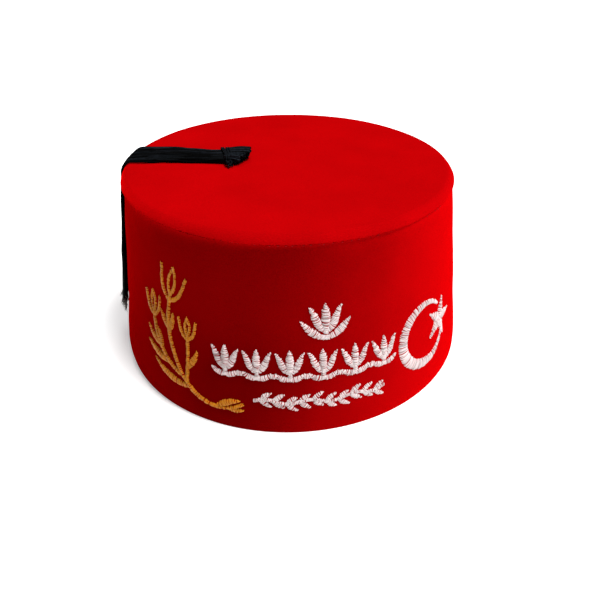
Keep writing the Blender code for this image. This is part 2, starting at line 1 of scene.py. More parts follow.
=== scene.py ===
"""The looks of the velvet fez: its cloth, seams, embroidery stitches and thread tassel.

Lengths are in millimetres, and MM turns them into the scene's metres. The origin is the
centre of the lower edge, +Z is up, and the embroidered front faces -Y, so the tassel hangs
down the -X side.
"""
import math
import random
from collections import namedtuple

import bpy
import numpy as np
from mathutils import Euler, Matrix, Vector, noise


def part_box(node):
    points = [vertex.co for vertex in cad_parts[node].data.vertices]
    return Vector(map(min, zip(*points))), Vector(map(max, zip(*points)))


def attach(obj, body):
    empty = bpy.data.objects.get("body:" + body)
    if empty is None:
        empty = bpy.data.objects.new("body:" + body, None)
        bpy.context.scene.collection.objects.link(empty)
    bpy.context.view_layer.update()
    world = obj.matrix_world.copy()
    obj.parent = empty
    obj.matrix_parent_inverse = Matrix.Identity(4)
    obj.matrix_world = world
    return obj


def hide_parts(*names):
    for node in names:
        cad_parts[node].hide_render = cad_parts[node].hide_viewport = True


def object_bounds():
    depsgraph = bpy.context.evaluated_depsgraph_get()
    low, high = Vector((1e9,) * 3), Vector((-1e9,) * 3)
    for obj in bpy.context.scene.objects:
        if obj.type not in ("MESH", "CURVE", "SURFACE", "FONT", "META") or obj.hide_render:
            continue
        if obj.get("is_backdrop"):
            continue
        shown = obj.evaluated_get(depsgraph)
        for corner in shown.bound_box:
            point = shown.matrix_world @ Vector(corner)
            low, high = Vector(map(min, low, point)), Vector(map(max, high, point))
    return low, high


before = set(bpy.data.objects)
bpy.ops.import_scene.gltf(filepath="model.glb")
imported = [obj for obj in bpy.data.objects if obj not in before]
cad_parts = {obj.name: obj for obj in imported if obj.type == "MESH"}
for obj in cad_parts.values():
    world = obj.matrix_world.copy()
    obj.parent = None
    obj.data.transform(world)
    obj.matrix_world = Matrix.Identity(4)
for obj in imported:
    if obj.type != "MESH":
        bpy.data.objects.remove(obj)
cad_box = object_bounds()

MM = 0.001

# ---- general helpers


def between(low, high, share):
    return low + (high - low) * share


def smooth(share):
    """0 to 1 with soft ends, clamped outside."""
    share = min(max(share, 0.0), 1.0)
    return share * share * (3.0 - 2.0 * share)


def bell(distance, reach):
    """1 at no distance, and softly less over the reach."""
    return math.exp(-(distance / reach) ** 2)


def add_object(name, data):
    made = bpy.data.objects.new(name, data)
    bpy.context.scene.collection.objects.link(made)
    return made


def add_mesh(name, shape, finishes, tones=1.0, finish_of_face=0):
    """A smooth-shaded mesh from (points, faces, uv), where uv has a pair for each corner of each face.

    tones has a share for each point and finish_of_face a number for each face, or one for all.
    """
    points, faces, uv = shape
    mesh = bpy.data.meshes.new(name)
    mesh.from_pydata([Vector(p) * MM for p in points], [], faces)
    mesh.shade_smooth()
    if uv is not None:
        layer = mesh.uv_layers.new(name="thread")
        layer.data.foreach_set("uv", np.asarray(uv, np.float32).ravel())
    tone = mesh.attributes.new("tone", "FLOAT", "POINT")
    tone.data.foreach_set("value", np.broadcast_to(tones, len(points)).astype(np.float32))
    for finish in finishes:
        mesh.materials.append(finish)
    of_face = np.broadcast_to(finish_of_face, len(faces)).astype(np.int32)
    mesh.polygons.foreach_set("material_index", of_face)
    return add_object(name, mesh)


def tubes(paths, radii, reference, sides=6, flat=1.0):
    """Closed tubes along many paths of equal count: (points, faces, uv).

    paths is (tubes, stops, 3). The radii are one for all, or spread over the points. So is the
    reference, a direction that the paths never take, along which flat squeezes the tubes.
    """
    paths = np.asarray(paths, float)
    count, stops = paths.shape[:2]
    radii = np.broadcast_to(radii, (count, stops))
    along = np.gradient(paths, axis=1)
    along /= np.linalg.norm(along, axis=2, keepdims=True)
    side = np.cross(along, reference)
    side /= np.linalg.norm(side, axis=2, keepdims=True)
    up = np.cross(side, along)
    angles = 2 * math.pi * np.arange(sides) / sides
    across = side[:, :, None, :] * np.cos(angles)[None, None, :, None]
    rising = up[:, :, None, :] * np.sin(angles)[None, None, :, None] * flat
    rings = paths[:, :, None, :] + (across + rising) * radii[:, :, None, None]
    ends = np.stack([paths[:, 0], paths[:, -1]], axis=1)
    points = np.concatenate([rings.reshape(count, -1, 3), ends], axis=1)

    stop, corner = np.divmod(np.arange((stops - 1) * sides), sides)
    low, high, following = stop * sides, (stop + 1) * sides, (corner + 1) % sides
    quads = np.stack([low + corner, low + following, high + following, high + corner], axis=1)
    last, middle = (stops - 1) * sides, stops * sides
    around, onward = corner[:sides], following[:sides]
    first_cap = np.stack([onward, around, np.full(sides, middle)], axis=1)
    last_cap = np.stack([last + around, last + onward, np.full(sides, middle + 1)], axis=1)
    faces = []
    for tube in range(count):
        for part in (quads, first_cap, last_cap):
            faces += (part + tube * points.shape[1]).tolist()

    steps = np.linalg.norm(np.diff(paths, axis=1), axis=2)
    run = np.concatenate([np.zeros((count, 1)), np.cumsum(steps, axis=1)], axis=1)
    quad_stops = np.stack([stop, stop, stop + 1, stop + 1], axis=1).ravel()
    quad_v = np.stack([corner, corner + 1, corner + 1, corner], axis=1).ravel() / sides
    u = run[:, np.concatenate([quad_stops, np.repeat([0, stops - 1], 3 * sides)])]
    v = np.concatenate([quad_v, np.tile(np.repeat(around / sides, 3), 2)])
    uv = np.stack([u, np.broadcast_to(v, u.shape)], axis=2)
    return points.reshape(-1, 3), faces, uv.reshape(-1, 2)


def joined(shapes):
    """One (points, faces, uv) from several."""
    points, faces, uv = np.zeros((0, 3)), [], np.zeros((0, 2))
    for more_points, more_faces, more_uv in shapes:
        faces += [[corner + len(points) for corner in face] for face in more_faces]
        points = np.concatenate([points, more_points])
        uv = np.concatenate([uv, more_uv])
    return points, faces, uv


# ---- materials

VELVET_RED = (0.55, 0.0006, 0.0020)
SHEEN_RED = (1.0, 0.0, 0.0)
BACKING_RED = (0.16, 0.012, 0.012)
SEAM_RED = (0.30, 0.010, 0.012)
BLACK = (0.0135, 0.0175, 0.0235)
FRAY_GREY = (0.38, 0.35, 0.32)
GOLD = (0.70, 0.25, 0.011)
GOLD_SHINE = (1.0, 0.62, 0.15, 1.0)
WHITE = (0.85, 0.73, 0.72)
FLOOR_WHITE = (0.88, 0.88, 0.88)
FULL_WHITE = (1.0, 1.0, 1.0, 1.0)
WEAVE_PITCH = 0.9
WAVE_SCALE = 0.314  # of a wave texture whose bands are 1 m apart


def shader_of(made):
    return made.node_tree.nodes["Principled BSDF"]


def connect(node, inputs):
    """Link each input that is given a socket, and set each that is given a value."""
    for name, given in inputs.items():
        if isinstance(given, bpy.types.NodeSocket):
            node.id_data.links.new(given, node.inputs[name])
        else:
            node.inputs[name].default_value = given


def new_material(name, colour, roughness, specular, sheen=0.0, sheen_roughness=0.5, sheen_tint=(1, 1, 1)):
    made = bpy.data.materials.new(name)
    made.use_nodes = True
    made.diffuse_color = (*colour, 1.0)
    connect(shader_of(made), {
        "Base Color": (*colour, 1.0), "Roughness": roughness, "Specular IOR Level": specular,
        "Sheen Weight": sheen, "Sheen Roughness": sheen_roughness, "Sheen Tint": (*sheen_tint, 1.0),
    })
    return made


def add_node(tree, kind, inputs=None, **settings):
    node = tree.nodes.new(kind)
    for key, value in settings.items():
        setattr(node, key, value)
    connect(node, inputs or {})
    return node


def plain(tree, colour):
    node = add_node(tree, "ShaderNodeRGB")
    node.outputs[0].default_value = (*colour, 1.0)
    return node.outputs[0]


def blobs(tree, size, detail, roughness):
    """Noise whose blobs are about `size` across."""
    place = add_node(tree, "ShaderNodeTexCoord").outputs["Object"]
    inputs = {"Vector": place, "Scale": 1.0 / (size * MM), "Detail": detail, "Roughness": roughness}
    return add_node(tree, "ShaderNodeTexNoise", inputs).outputs["Fac"]


def darkened(tree, colour, share, dark_end, pale_end):
    """The colour times a grey that follows the share; each end is (share, grey)."""
    greys = add_node(tree, "ShaderNodeValToRGB", {"Fac": share})
    for element, (position, grey) in zip(greys.color_ramp.elements, (dark_end, pale_end)):
        element.position = position
        element.color = (grey, grey, grey, 1.0)
    inputs = {"Factor": 1.0, "A": colour, "B": greys.outputs["Color"]}
    return add_node(tree, "ShaderNodeMix", inputs, data_type="RGBA", blend_type="MULTIPLY").outputs["Result"]


def mottled(tree, colour, size, darkest, roughness=0.5):
    return darkened(tree, colour, blobs(tree, size, 3.0, roughness), (0.3, darkest), (0.7, 1.0))


def toned(tree, colour):
    """The colour, darkened where the point attribute "tone" is under 1."""
    tone = add_node(tree, "ShaderNodeAttribute", attribute_name="tone")
    return darkened(tree, colour, tone.outputs["Fac"], (0.0, 0.0), (1.0, 1.0))


def bump(tree, height, depth, under=None):
    inputs = {"Height": height, "Distance": depth * MM}
    if under is not None:
        inputs["Normal"] = under
    return add_node(tree, "ShaderNodeBump", inputs).outputs["Normal"]


def relief(tree, size, depth, roughness=0.5, under=None):
    return bump(tree, blobs(tree, size, 2.0, roughness), depth, under)


def finished(made, colour, normal):
    connect(shader_of(made), {"Base Color": colour, "Normal": normal})
    return made


def velvet():
    """Short dense pile: dark where it is seen end on, bright and saturated at a slant.

    The point attribute "tone" says how bright it is painted, 1 being the brightest: on the wall and the roll
    that is painted light and shade.
    """
    made = new_material("red_velvet_pile", VELVET_RED, 0.9, 0.0, 0.5, 0.5, SHEEN_RED)
    tree = made.node_tree
    stroked = mottled(tree, toned(tree, plain(tree, VELVET_RED)), size=26, darkest=0.86)
    pile = mottled(tree, stroked, size=0.45, darkest=0.72, roughness=0.7)
    broad_shading = relief(tree, size=7, depth=0.12)
    return finished(made, pile, relief(tree, size=0.4, depth=0.10, roughness=0.6, under=broad_shading))


def backing():
    """The stiffened plain weave that shows inside the hat."""
    made = new_material("stiffened_backing", BACKING_RED, 0.85, 0.25)
    tree = made.node_tree
    place = add_node(tree, "ShaderNodeTexCoord").outputs["Object"]
    inputs = {"Vector": place, "Scale": WAVE_SCALE / (WEAVE_PITCH * MM), "Distortion": 0.6}
    weave = 0.0
    for axis in "XZY":
        wave = add_node(tree, "ShaderNodeTexWave", inputs, bands_direction=axis).outputs["Fac"]
        weave = add_node(tree, "ShaderNodeMath", {0: weave, 1: wave}, operation="ADD").outputs[0]
    colour = mottled(tree, plain(tree, BACKING_RED), size=18, darkest=0.80)
    return finished(made, colour, bump(tree, weave, 0.06))


def thread(name, colour, roughness, specular, ply_pitch, ply_depth, sheen=0.0):
    """Twisted thread. Its UVs run along the thread in millimetres and once round it."""
    made = new_material(name, colour, roughness, specular, sheen, 0.4, colour)
    tree = made.node_tree
    place = add_node(tree, "ShaderNodeUVMap", uv_map="thread").outputs["UV"]
    slope = (2 * math.pi / ply_pitch, 4 * math.pi, 0.0)
    slant = add_node(tree, "ShaderNodeVectorMath", {0: place, 1: slope}, operation="DOT_PRODUCT")
    plies = add_node(tree, "ShaderNodeMath", {0: slant.outputs["Value"]}, operation="SINE").outputs[0]
    normal = relief(tree, 0.16, 0.3 * ply_depth, 0.6, bump(tree, plies, ply_depth))
    return finished(made, toned(tree, plain(tree, colour)), normal)


# ---- the crown

BASE_RADIUS = (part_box("crown_side")[1].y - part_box("crown_side")[0].y) / 2 / MM
TOP_RADIUS = 83.0  # where the wall's cone would meet the plane of the top
HEIGHT = 96.7
WALL = 2.7
WAIST = 1.2  # how far the wall draws in from its cone under the rolled rim
WAIST_FROM = 46.0  # and from which height up
SIDE_RISE = 0.0170  # the -X side stands higher, by this share of the distance from the middle
SEAM_HEIGHT = HEIGHT - 3.8
RIM_CORNER = 82.8  # radius of the corner that the roll bends round
RIM_INWARD = 3.6  # how far in from there the top is flat
RIM_FULLNESS = 0.46  # how far the roll reaches into the corner

AROUND = 720  # points round the crown
WALL_ROWS = ((3.0, 81.0, 27), (84.0, 92.0, 17))  # heights of points, from, to and how many
BACKING_ROWS = (80.0, 60.0, 40.0, 20.0)
TOP_ROWS = 26  # from the roll to the middle of the top

# The hand-made wall departs from its even shape, by these amounts at the +X and the -X side.
HEM_FULLNESS = (0.35, 1.05)  # how far the turned cloth stands out
HOLLOW = (0.15, 0.75)  # how far the wall lies in at mid height
TOP_PULL = (0.35, -0.7)  # how far it stands out under the rim
LEFT_SIDE = math.radians(199.0)  # where the -X side's amounts are reached
HEM_STARTS = 5.0  # the turned cloth is full from here up,
HEM_ENDS = 34.0  # and even again here
HOLLOW_HEIGHT = 56.0
HOLLOW_REACH = 24.0
TOP_PULL_FROM = 66.0
SHAPE_FADE = 22.0  # height over which the fullness ends and the pull begins

# Gentle unevenness of hand-worked cloth: how deep, how large, and where its noise is taken from.
Bulge = namedtuple("Bulge", "depth size offset")
WALL_BULGES = (Bulge(0.30, 30, 0.0), Bulge(0.12, 9, 400.0))
TOP_BULGES = (Bulge(0.26, 34, 0.0), Bulge(0.07, 9, 50.0))
STIFF_BELOW = 12.0  # the cloth is less uneven down here

HEM_EDGE = 0.35  # radius of the lower edge
HEM_TURN = 9.0  # how high the cloth is turned up inside the lower edge
HEM_CLOTH = 0.45  # thickness of the cloth that is turned up
HEM_CUT = ((0.0, 0.15), (0.8 * HEM_CLOTH, 0.0), (HEM_CLOTH, -0.5))  # its edge: inward and up
HEM_BEND = (0.4, 3.0)  # outward and up, where it starts to bend round the lower edge
BACK_SEAM_DEPTH = 0.55  # of the upright seam at the back
BACK_SEAM_WIDTH = 0.45
BACK_RIDGE = 0.20  # its turned edges raise the cloth beside it
BACK_RIDGE_AWAY = 2.2
BACK_RIDGE_WIDTH = 1.3

SEAM_SOFTNESS = 0.5  # how far from the seam the cloth starts to bend in,
SEAM_OPEN = 0.03  # and how far from it each fold ends
SEAM_FOLD = 0.25  # how deep the wall's edge folds into the seam
LIP_FOLD = 0.5  # how deep the roll's lower edge turns under
INNER_OPEN = 0.2  # how far from the seam the backing ends
INNER_CORNER = 0.6  # bevel of the backing under the rim
PUCKER_DEPTH = 0.16
PUCKER_REACH = 2.2
SEAM_STITCHES = 160  # slip stitches round the seam between the wall and the top
SEAM_MISSED = 0.25  # share of the stitches that stay hidden in the pile
SEAM_STITCH_RADIUS = 0.10
SEAM_STITCH_BELOW = 0.8  # how far under the seam they lie
SEAM_STITCH_OUT = (0.03, -0.22)  # how far from the cloth, in their middle and at their ends

TOP_NAP = 0.75  # tone of the pile where it lies flat on the top
ROLL_PAINTED_LIGHT = 0.77  # painted light: tone on the roll, a little brighter than the top,
ROLL_REACH = 0.35  # reached over this share of the roll's height
WALL_PAINTED_SHADE = 0.345  # painted shade: tone on the wall at the -X side, away from the key light
WALL_PAINTED_SHADE_LOW = 0.215  # painted shade there, darker still near the lower edge
DARKEST_BELOW = 25.0
DARK_ABOVE = 65.0
WALL_PAINTED_LIGHT = 0.77  # painted light: tone at the +X side, towards the key light
PAINTED_LIGHT_TURN = 0.95  # cosine of the angle from there within which the painted light is the brightest
PAINTED_LIGHT_SLANT = math.radians(21.0)  # the painted light's turn runs aslant by this, from the top to the lower edge
UNDER_SEAM_PAINTED_LIGHT = 1.0  # painted light just under the seam, which lifts the roll's shadow there,
UNDER_SEAM_LIGHT_REACH = 1.8  # and how soon that fades below it


def leaned(point):
    """The crown was made a little out of level: its -X side is the taller."""
    x, y, z = point
    return Vector((x, y, z * (1.0 - SIDE_RISE * x / HEIGHT)))


def round_axis(radius, angle, z):
    return Vector((radius * math.cos(angle), radius * math.sin(angle), z))


def cone_radius(z):
    return between(BASE_RADIUS, TOP_RADIUS, z / HEIGHT)


def wall_radius(z):
    """The wall is a cone that draws in a little more towards the rim."""
    return cone_radius(z) - WAIST * max((z - WAIST_FROM) / (SEAM_HEIGHT - WAIST_FROM), 0.0) ** 1.5


def rim_profile(steps):
    """(radius, height) from the seam, up over the rolled rim, to where the top is flat."""
    corner = np.array((RIM_CORNER, HEIGHT))
    start = np.array((cone_radius(SEAM_HEIGHT), SEAM_HEIGHT))
    end = corner - (RIM_INWARD, 0.0)
    pull_start = between(start, corner, RIM_FULLNESS)
    pull_end = between(end, corner, RIM_FULLNESS)
    t = np.linspace(0.0, 1.0, steps + 1)[:, None]
    curve = start * (1 - t) ** 3 + 3 * pull_start * t * (1 - t) ** 2
    return (curve + 3 * pull_end * t * t * (1 - t) + end * t ** 3).tolist()


def quarter_round(centre, size, from_degrees, to_degrees, steps=5):
    """Points of an arc about `centre`, whose half-axes are `size`."""
    points = []
    for step in range(steps + 1):
        angle = math.radians(between(from_degrees, to_degrees, step / steps))
        points.append((centre[0] + size[0] * math.cos(angle), centre[1] + size[1] * math.sin(angle)))
    return points


def shaped(angle, z):
    """How far the hand-made wall stands out from its even shape: a full hem, and a slight hollow."""
    to_left = 0.5 + 0.5 * math.cos(angle - LEFT_SIDE)
    hem = between(*HEM_FULLNESS, to_left) * smooth((HEM_ENDS - z) / SHAPE_FADE) * smooth(z / HEM_STARTS)
    hollow = between(*HOLLOW, to_left) * bell(z - HOLLOW_HEIGHT, HOLLOW_REACH)
    pull = between(*TOP_PULL, to_left) * smooth((z - TOP_PULL_FROM) / SHAPE_FADE)
    return hem - hollow + pull


def uneven(place, bulges):
    out = 0.0
    for row in bulges:
        out += row.depth * noise.noise((place + Vector((0.0, 0.0, row.offset))) / row.size)
    return out


def pucker(angle, away):
    """How far in the cloth is drawn at the seam's stitches, `away` from the seam."""
    pull = 0.65 + 0.7 * noise.noise(Vector((angle * 9.0, 3.1, 0.0)))
    at_stitch = 0.5 - 0.5 * math.cos(angle * SEAM_STITCHES)
    return PUCKER_DEPTH * pull * math.exp(-away / PUCKER_REACH) * at_stitch


def add_revolved(name, profile, push, tone_at, finishes, backing_rows, closed):
    """A surface round the crown: rows of points along the profile, each pushed out by `push`.

    push(angle, row) is along the row's outward direction, and tone_at(angle, row) is the tone,
    painted light and shade included. Faces that start from backing_rows take the second finish.
    A closed profile joins its last row to its first; an open one is filled to the axis at both ends.
    """
    rows = len(profile)
    line = [Vector(p) for p in profile]
    angles = [2 * math.pi * i / AROUND for i in range(AROUND)]
    points, tones, faces, finish_of_face = [], [], [], []
    for row in range(rows):
        before = line[row - 1] if closed or row else line[row]
        after = line[(row + 1) % rows] if closed or row < rows - 1 else line[row]
        along = (after - before).normalized()
        outward = Vector((along.y, -along.x))
        for angle in angles:
            radius, z = line[row] + outward * push(angle, row)
            points.append(leaned(round_axis(radius, angle, z)))
            tones.append(tone_at(angle, row))
    for row in range(rows if closed else rows - 1):
        low, high = row * AROUND, (row + 1) % rows * AROUND
        for i in range(AROUND):
            j = (i + 1) % AROUND
            faces.append((low + i, low + j, high + j, high + i))
        finish_of_face += [int(row in backing_rows)] * AROUND
    for row in () if closed else (0, rows - 1):
        points.append(leaned((0.0, 0.0, line[row].y)))
        tones.append(tone_at(0.0, row))
        for i in range(AROUND):
            a, b = row * AROUND + i, row * AROUND + (i + 1) % AROUND
            faces.append((a, b, len(points) - 1) if row else (b, a, len(points) - 1))
        finish_of_face += [int(row in backing_rows)] * AROUND
    return add_mesh(name, (points, faces, None), finishes, tones, finish_of_face)


def crown_side(finishes):
    """The wall, its lower edge turned in, and its upper edge folded into the seam."""
    edge = (HEM_EDGE, HEM_EDGE)
    fold_start = SEAM_HEIGHT - SEAM_SOFTNESS
    fold_centre = (wall_radius(fold_start) - SEAM_FOLD, fold_start)
    profile = quarter_round((BASE_RADIUS - HEM_EDGE, HEM_EDGE), edge, -90, 0)
    profile += [(wall_radius(z), z) for heights in WALL_ROWS for z in np.linspace(*heights)]
    profile += quarter_round(fold_centre, (SEAM_FOLD, SEAM_SOFTNESS - SEAM_OPEN), 0, 90, 6)
    outer_rows = len(profile)
    profile += [(wall_radius(z) - WALL, z) for z in (SEAM_HEIGHT - INNER_OPEN, *BACKING_ROWS)]
    backing_rows = range(outer_rows, len(profile))
    turned_in = wall_radius(HEM_TURN) - WALL
    profile += [(turned_in - inward, HEM_TURN + up) for inward, up in HEM_CUT]
    lowest = wall_radius(0.0) - WALL - HEM_CLOTH
    profile += [(lowest + HEM_BEND[0], HEM_BEND[1])]
    profile += quarter_round((lowest + HEM_EDGE, HEM_EDGE), edge, 180, 270)

    def push(angle, row):
        radius, z = profile[row]
        if row >= outer_rows:
            return 0.0
        from_back = abs(math.remainder(angle - math.pi / 2, 2 * math.pi)) * radius
        free = uneven(round_axis(BASE_RADIUS, angle, z), WALL_BULGES)
        free += BACK_RIDGE * bell(from_back - BACK_RIDGE_AWAY, BACK_RIDGE_WIDTH)
        free -= BACK_SEAM_DEPTH * bell(from_back, BACK_SEAM_WIDTH)
        free *= smooth((z - HEM_EDGE) / STIFF_BELOW)
        return shaped(angle, z) + free - pucker(angle, SEAM_HEIGHT - z)

    def tone_at(angle, row):
        """Painted light and shade: lighter towards the key light, darker on the -X side and lower down
        there, lighter just under the seam.
        """
        z = profile[row][1]
        higher = smooth((z - DARKEST_BELOW) / (DARK_ABOVE - DARKEST_BELOW))
        turned = smooth(math.cos(angle + PAINTED_LIGHT_SLANT * (1.0 - z / HEIGHT)) / PAINTED_LIGHT_TURN)
        # painted light that lifts the rolled rim's shadow just under the seam
        under_seam_light = math.exp(-max(SEAM_HEIGHT - z, 0.0) / UNDER_SEAM_LIGHT_REACH)
        # painted light on the key light's side, painted shade on the -X side, darkest low down there
        broad_shading = between(between(WALL_PAINTED_SHADE_LOW, WALL_PAINTED_SHADE, higher), WALL_PAINTED_LIGHT, turned)
        return between(broad_shading, UNDER_SEAM_PAINTED_LIGHT, under_seam_light)

    return add_revolved("crown_side_velvet", profile, push, tone_at, finishes, backing_rows, True)


def crown_top(finishes):
    """The flat top, its rolled rim, and its edge folded into the seam."""
    under = HEIGHT - WALL
    fold_end = SEAM_HEIGHT + SEAM_SOFTNESS
    lip = wall_radius(SEAM_HEIGHT) - WALL
    profile = [(share * (lip - INNER_CORNER), under) for share in np.linspace(0.1, 1.0, 5)]
    profile += [(lip - INNER_CORNER / 2, under - INNER_CORNER), (lip, SEAM_HEIGHT + INNER_OPEN)]
    inner_rows = len(profile)
    rim = [p for p in rim_profile(24) if p[1] > fold_end + 0.1]
    fold_centre = (rim[0][0] - LIP_FOLD, fold_end)
    profile += quarter_round(fold_centre, (LIP_FOLD, SEAM_SOFTNESS - SEAM_OPEN), -90, 0, 8)
    profile += rim
    profile += [(rim[-1][0] * (1.0 - k / TOP_ROWS), HEIGHT) for k in range(1, TOP_ROWS)]

    def push(angle, row):
        radius, z = profile[row]
        if row < inner_rows:
            return 0.0
        away = (z - SEAM_HEIGHT) + max(TOP_RADIUS - radius, 0.0)
        return uneven(round_axis(radius, angle, 0.0), TOP_BULGES) - pucker(angle, away)

    def tone_at(angle, row):
        """Painted light: the roll is made a little brighter than the flat top."""
        if row < inner_rows:
            return TOP_NAP
        bent = smooth((HEIGHT - profile[row][1]) / (ROLL_REACH * (HEIGHT - SEAM_HEIGHT)))
        return between(TOP_NAP, ROLL_PAINTED_LIGHT, bent)

    return add_revolved("crown_top_velvet", profile, push, tone_at, finishes, range(inner_rows - 1), False)


def seam_stitches(finish):
    """Small slip stitches that close the seam between the wall and the top."""
    rng = random.Random(11)
    paths = []
    for k in range(SEAM_STITCHES):
        middle = (k + 0.5 + rng.uniform(-0.3, 0.3)) * 2 * math.pi / SEAM_STITCHES
        length = rng.uniform(0.6, 1.3)
        slant = rng.uniform(-0.1, 0.4)
        if rng.random() < SEAM_MISSED:
            continue
        path = []
        for u in np.linspace(-1, 1, 7):
            angle = middle + u * length / 2 / BASE_RADIUS
            z = SEAM_HEIGHT - SEAM_STITCH_BELOW + slant * u
            cloth = wall_radius(z) + shaped(angle, z) - pucker(angle, SEAM_HEIGHT - z)
            path.append(leaned(round_axis(cloth + between(*SEAM_STITCH_OUT, u * u), angle, z)))
        paths.append(path)
    return add_mesh("seam_stitches", tubes(paths, SEAM_STITCH_RADIUS, (0.0, 0.0, 1.0)), (finish,))


# ---- the embroidery, drawn flat: along the wall from its front, and up from the ground

EMBROIDERY_RADIUS = 91.0
THINNEST = 0.5  # no stroke is thinner than this

Stroke = namedtuple("Stroke", "points width layer")  # width is a function of the share of its length
Stem = namedtuple("Stem", "along up heading length turn root_width tip_width")
SideLeaf = namedtuple("SideLeaf", "stem share side lean length turn width")
Flower = namedtuple("Flower", "stem height line")
Petal = namedtuple("Petal", "lean length turn flare")  # degrees, but for the length

GOLD_STEMS = {
    "middle": Stem(-48.0, 15.5, 140, 47, -64, 2.3, 1.9),
    "left": Stem(-54.8, 21.6, 164, 33, -72, 2.1, 1.7),
    "right": Stem(-51.8, 18.5, 86, 23, 4, 2.0, 1.6),
    "trailing": Stem(-48.8, 16.1, -40, 28, 76, 2.3, 1.3),
}
GOLD_FLOWERS = (
    Flower("middle", 16.5, 1.8),
    Flower("left", 12.0, 1.6),
    Flower("right", 10.5, 1.5),
)
GOLD_LEAVES = (
    SideLeaf("middle", 0.04, 1, 50, 25, 44, 4.0),
    SideLeaf("middle", 0.64, -1, 38, 11, 30, 2.8),
    SideLeaf("middle", 0.68, 1, 38, 10, 24, 2.6),
    SideLeaf("left", 0.24, 1, 34, 18, 36, 3.6),
    SideLeaf("left", 0.52, 1, 38, 13, 40, 3.0),
    SideLeaf("left", 0.50, -1, 34, 10, 24, 2.6),
    SideLeaf("right", 0.35, -1, 38, 12, 24, 3.0),
    SideLeaf("trailing", 0.50, 1, 42, 13, 30, 3.2),
    SideLeaf("trailing", 0.70, -1, 26, 8, 24, 2.4),
)
STEM_STEPS = 40  # places along a stem where a leaf can grow

# Petals of the tulips, whose lengths are shares of the flower's height.
INNER_PETAL = Petal(33, 0.92, -70, 0)
OUTER_PETAL = Petal(68, 1.12, -112, 62)
FILLED_PETAL = Petal(-56, 0.85, 84, -70)
HEART_RISE = 0.18  # of the outlined tulip's heart over its foot
FILLED_MIDDLE = 0.80  # length of the filled tulip's middle petal
FILLED_WIDTHS = (0.24, 0.21)  # of that petal and of the two beside it
FILLED_STALK = (-0.22, 0.1)  # from where to where it runs, over the foot
STALK_WIDTH = 2.0

PALMETTE_FOOT = (15.0, 49.0)
PALMETTE_HEIGHT = 17.0
PALMETTE_LEAF = Petal(-80, 15.0, 66, -26)
BORDER_FIRST = -31.3  # where the first tulip of the border stands
BORDER_PITCH = 14.9
BORDER_TULIPS = 6
BORDER_FOOT = 29.8
BORDER_HEIGHT = 15.0
BORDER_LEAF = Petal(-104, 8.0, 70, 0)
BORDER_BEAD = 2.6
BEAD_WIDTH = 2.2
BEAD_RISE = 1.5
LEAF_CROSSING = 0.4  # how far past the middle a pair of leaves begins
GARLAND_FROM = -18.0
GARLAND_TO = 42.5
GARLAND_UP = 18.2
GARLAND_WAVE = 1.0
GARLAND_PERIOD = 20.0
GARLAND_ENDS = (3.0, 1.0)  # of its stem, without leaves
GARLAND_LEAF_PITCH = 5.8
GARLAND_LEAF = Petal(50, 6.0, -30, 0)
CRESCENT_CENTRE = (69.5, 33.2)
CRESCENT_RADIUS = 17.9
CRESCENT_HOLLOW_SHIFT = (2.1, 0.7)
CRESCENT_HOLLOW_RADIUS = 14.1
CRESCENT_OPENING = 24.0  # degrees from the opening's middle to each tip
CRESCENT_TAPER_FROM = 0.72  # share of its length from which the lower horn thins
CRESCENT_TIP_SHARE = 0.35  # and what is left of its width at the tip
CRESCENT_STEPS = 72
STAR_CENTRE = (84.0, 35.3)
STAR_RAYS = 5
STAR_RADIUS = 11.6
STAR_WAIST = 4.6  # radius of the corners between the rays
STAR_TURN = 1.0  # degrees, of the ray nearest to +along


def heading_point(place, heading, length):
    angle = math.radians(heading)
    return (place[0] + length * math.cos(angle), place[1] + length * math.sin(angle))


def sweep(start, heading, length, turn=0.0, flare=0.0, steps=30):
    """Points of a line that turns steadily, and flares by a further angle near its tip."""
    points = [start]
    for i in range(steps):
        t = (i + 0.5) / steps
        points.append(heading_point(points[-1], heading + turn * t + flare * t ** 3, length / steps))
    return points


def end_heading(points):
    (s0, z0), (s1, z1) = points[-2:]
    return math.degrees(math.atan2(z1 - z0, s1 - s0))


def even(root_width, tip_width):
    """Width of a plain line from root to tip."""
    return lambda t: between(root_width, tip_width, t)


def leaf(width, root_width=1.4, fullest=0.45):
    """Width of a pointed leaf or petal."""
    def at(t):
        if t < fullest:
            return between(root_width, width, math.sin(t / fullest * math.pi / 2))
        return width * math.sin((1.0 - t) / (1.0 - fullest) * math.pi / 2) ** 0.8
    return at


def pair(foot, heading, petal, size, width, layer=0, crossing=0.0):
    """A stroke at each side of a heading, `size` times the petal's length."""
    strokes = []
    for side in (1, -1):
        start = (foot[0] - crossing * side, foot[1])
        leaning = heading + side * petal.lean
        points = sweep(start, leaning, size * petal.length, side * petal.turn, side * petal.flare)
        strokes.append(Stroke(points, width, layer))
    return strokes


def outlined_tulip(foot, heading, height, line):
    """Two outer petals that flare at their tips, round a pointed heart, all in outline."""
    heart = heading_point(foot, heading, HEART_RISE * height)
    strokes = [Stroke([foot, heart], even(line, 0.9 * line), 0)]
    strokes += pair(heart, heading, INNER_PETAL, height, even(0.9 * line, 0.8 * line))
    return strokes + pair(foot, heading, OUTER_PETAL, height, even(line, 0.8 * line), 1)


def filled_tulip(foot, height):
    """Three filled petals on a short stalk, standing upright."""
    middle_width, side_width = (share * height for share in FILLED_WIDTHS)
    stalk = [(foot[0], foot[1] + share * height) for share in FILLED_STALK]
    strokes = [Stroke(stalk, even(STALK_WIDTH, STALK_WIDTH), 0)]
    strokes += pair(foot, 90, FILLED_PETAL, height, leaf(side_width, fullest=0.42))
    return strokes + [Stroke(sweep(foot, 90, FILLED_MIDDLE * height), leaf(middle_width, fullest=0.5), 1)]


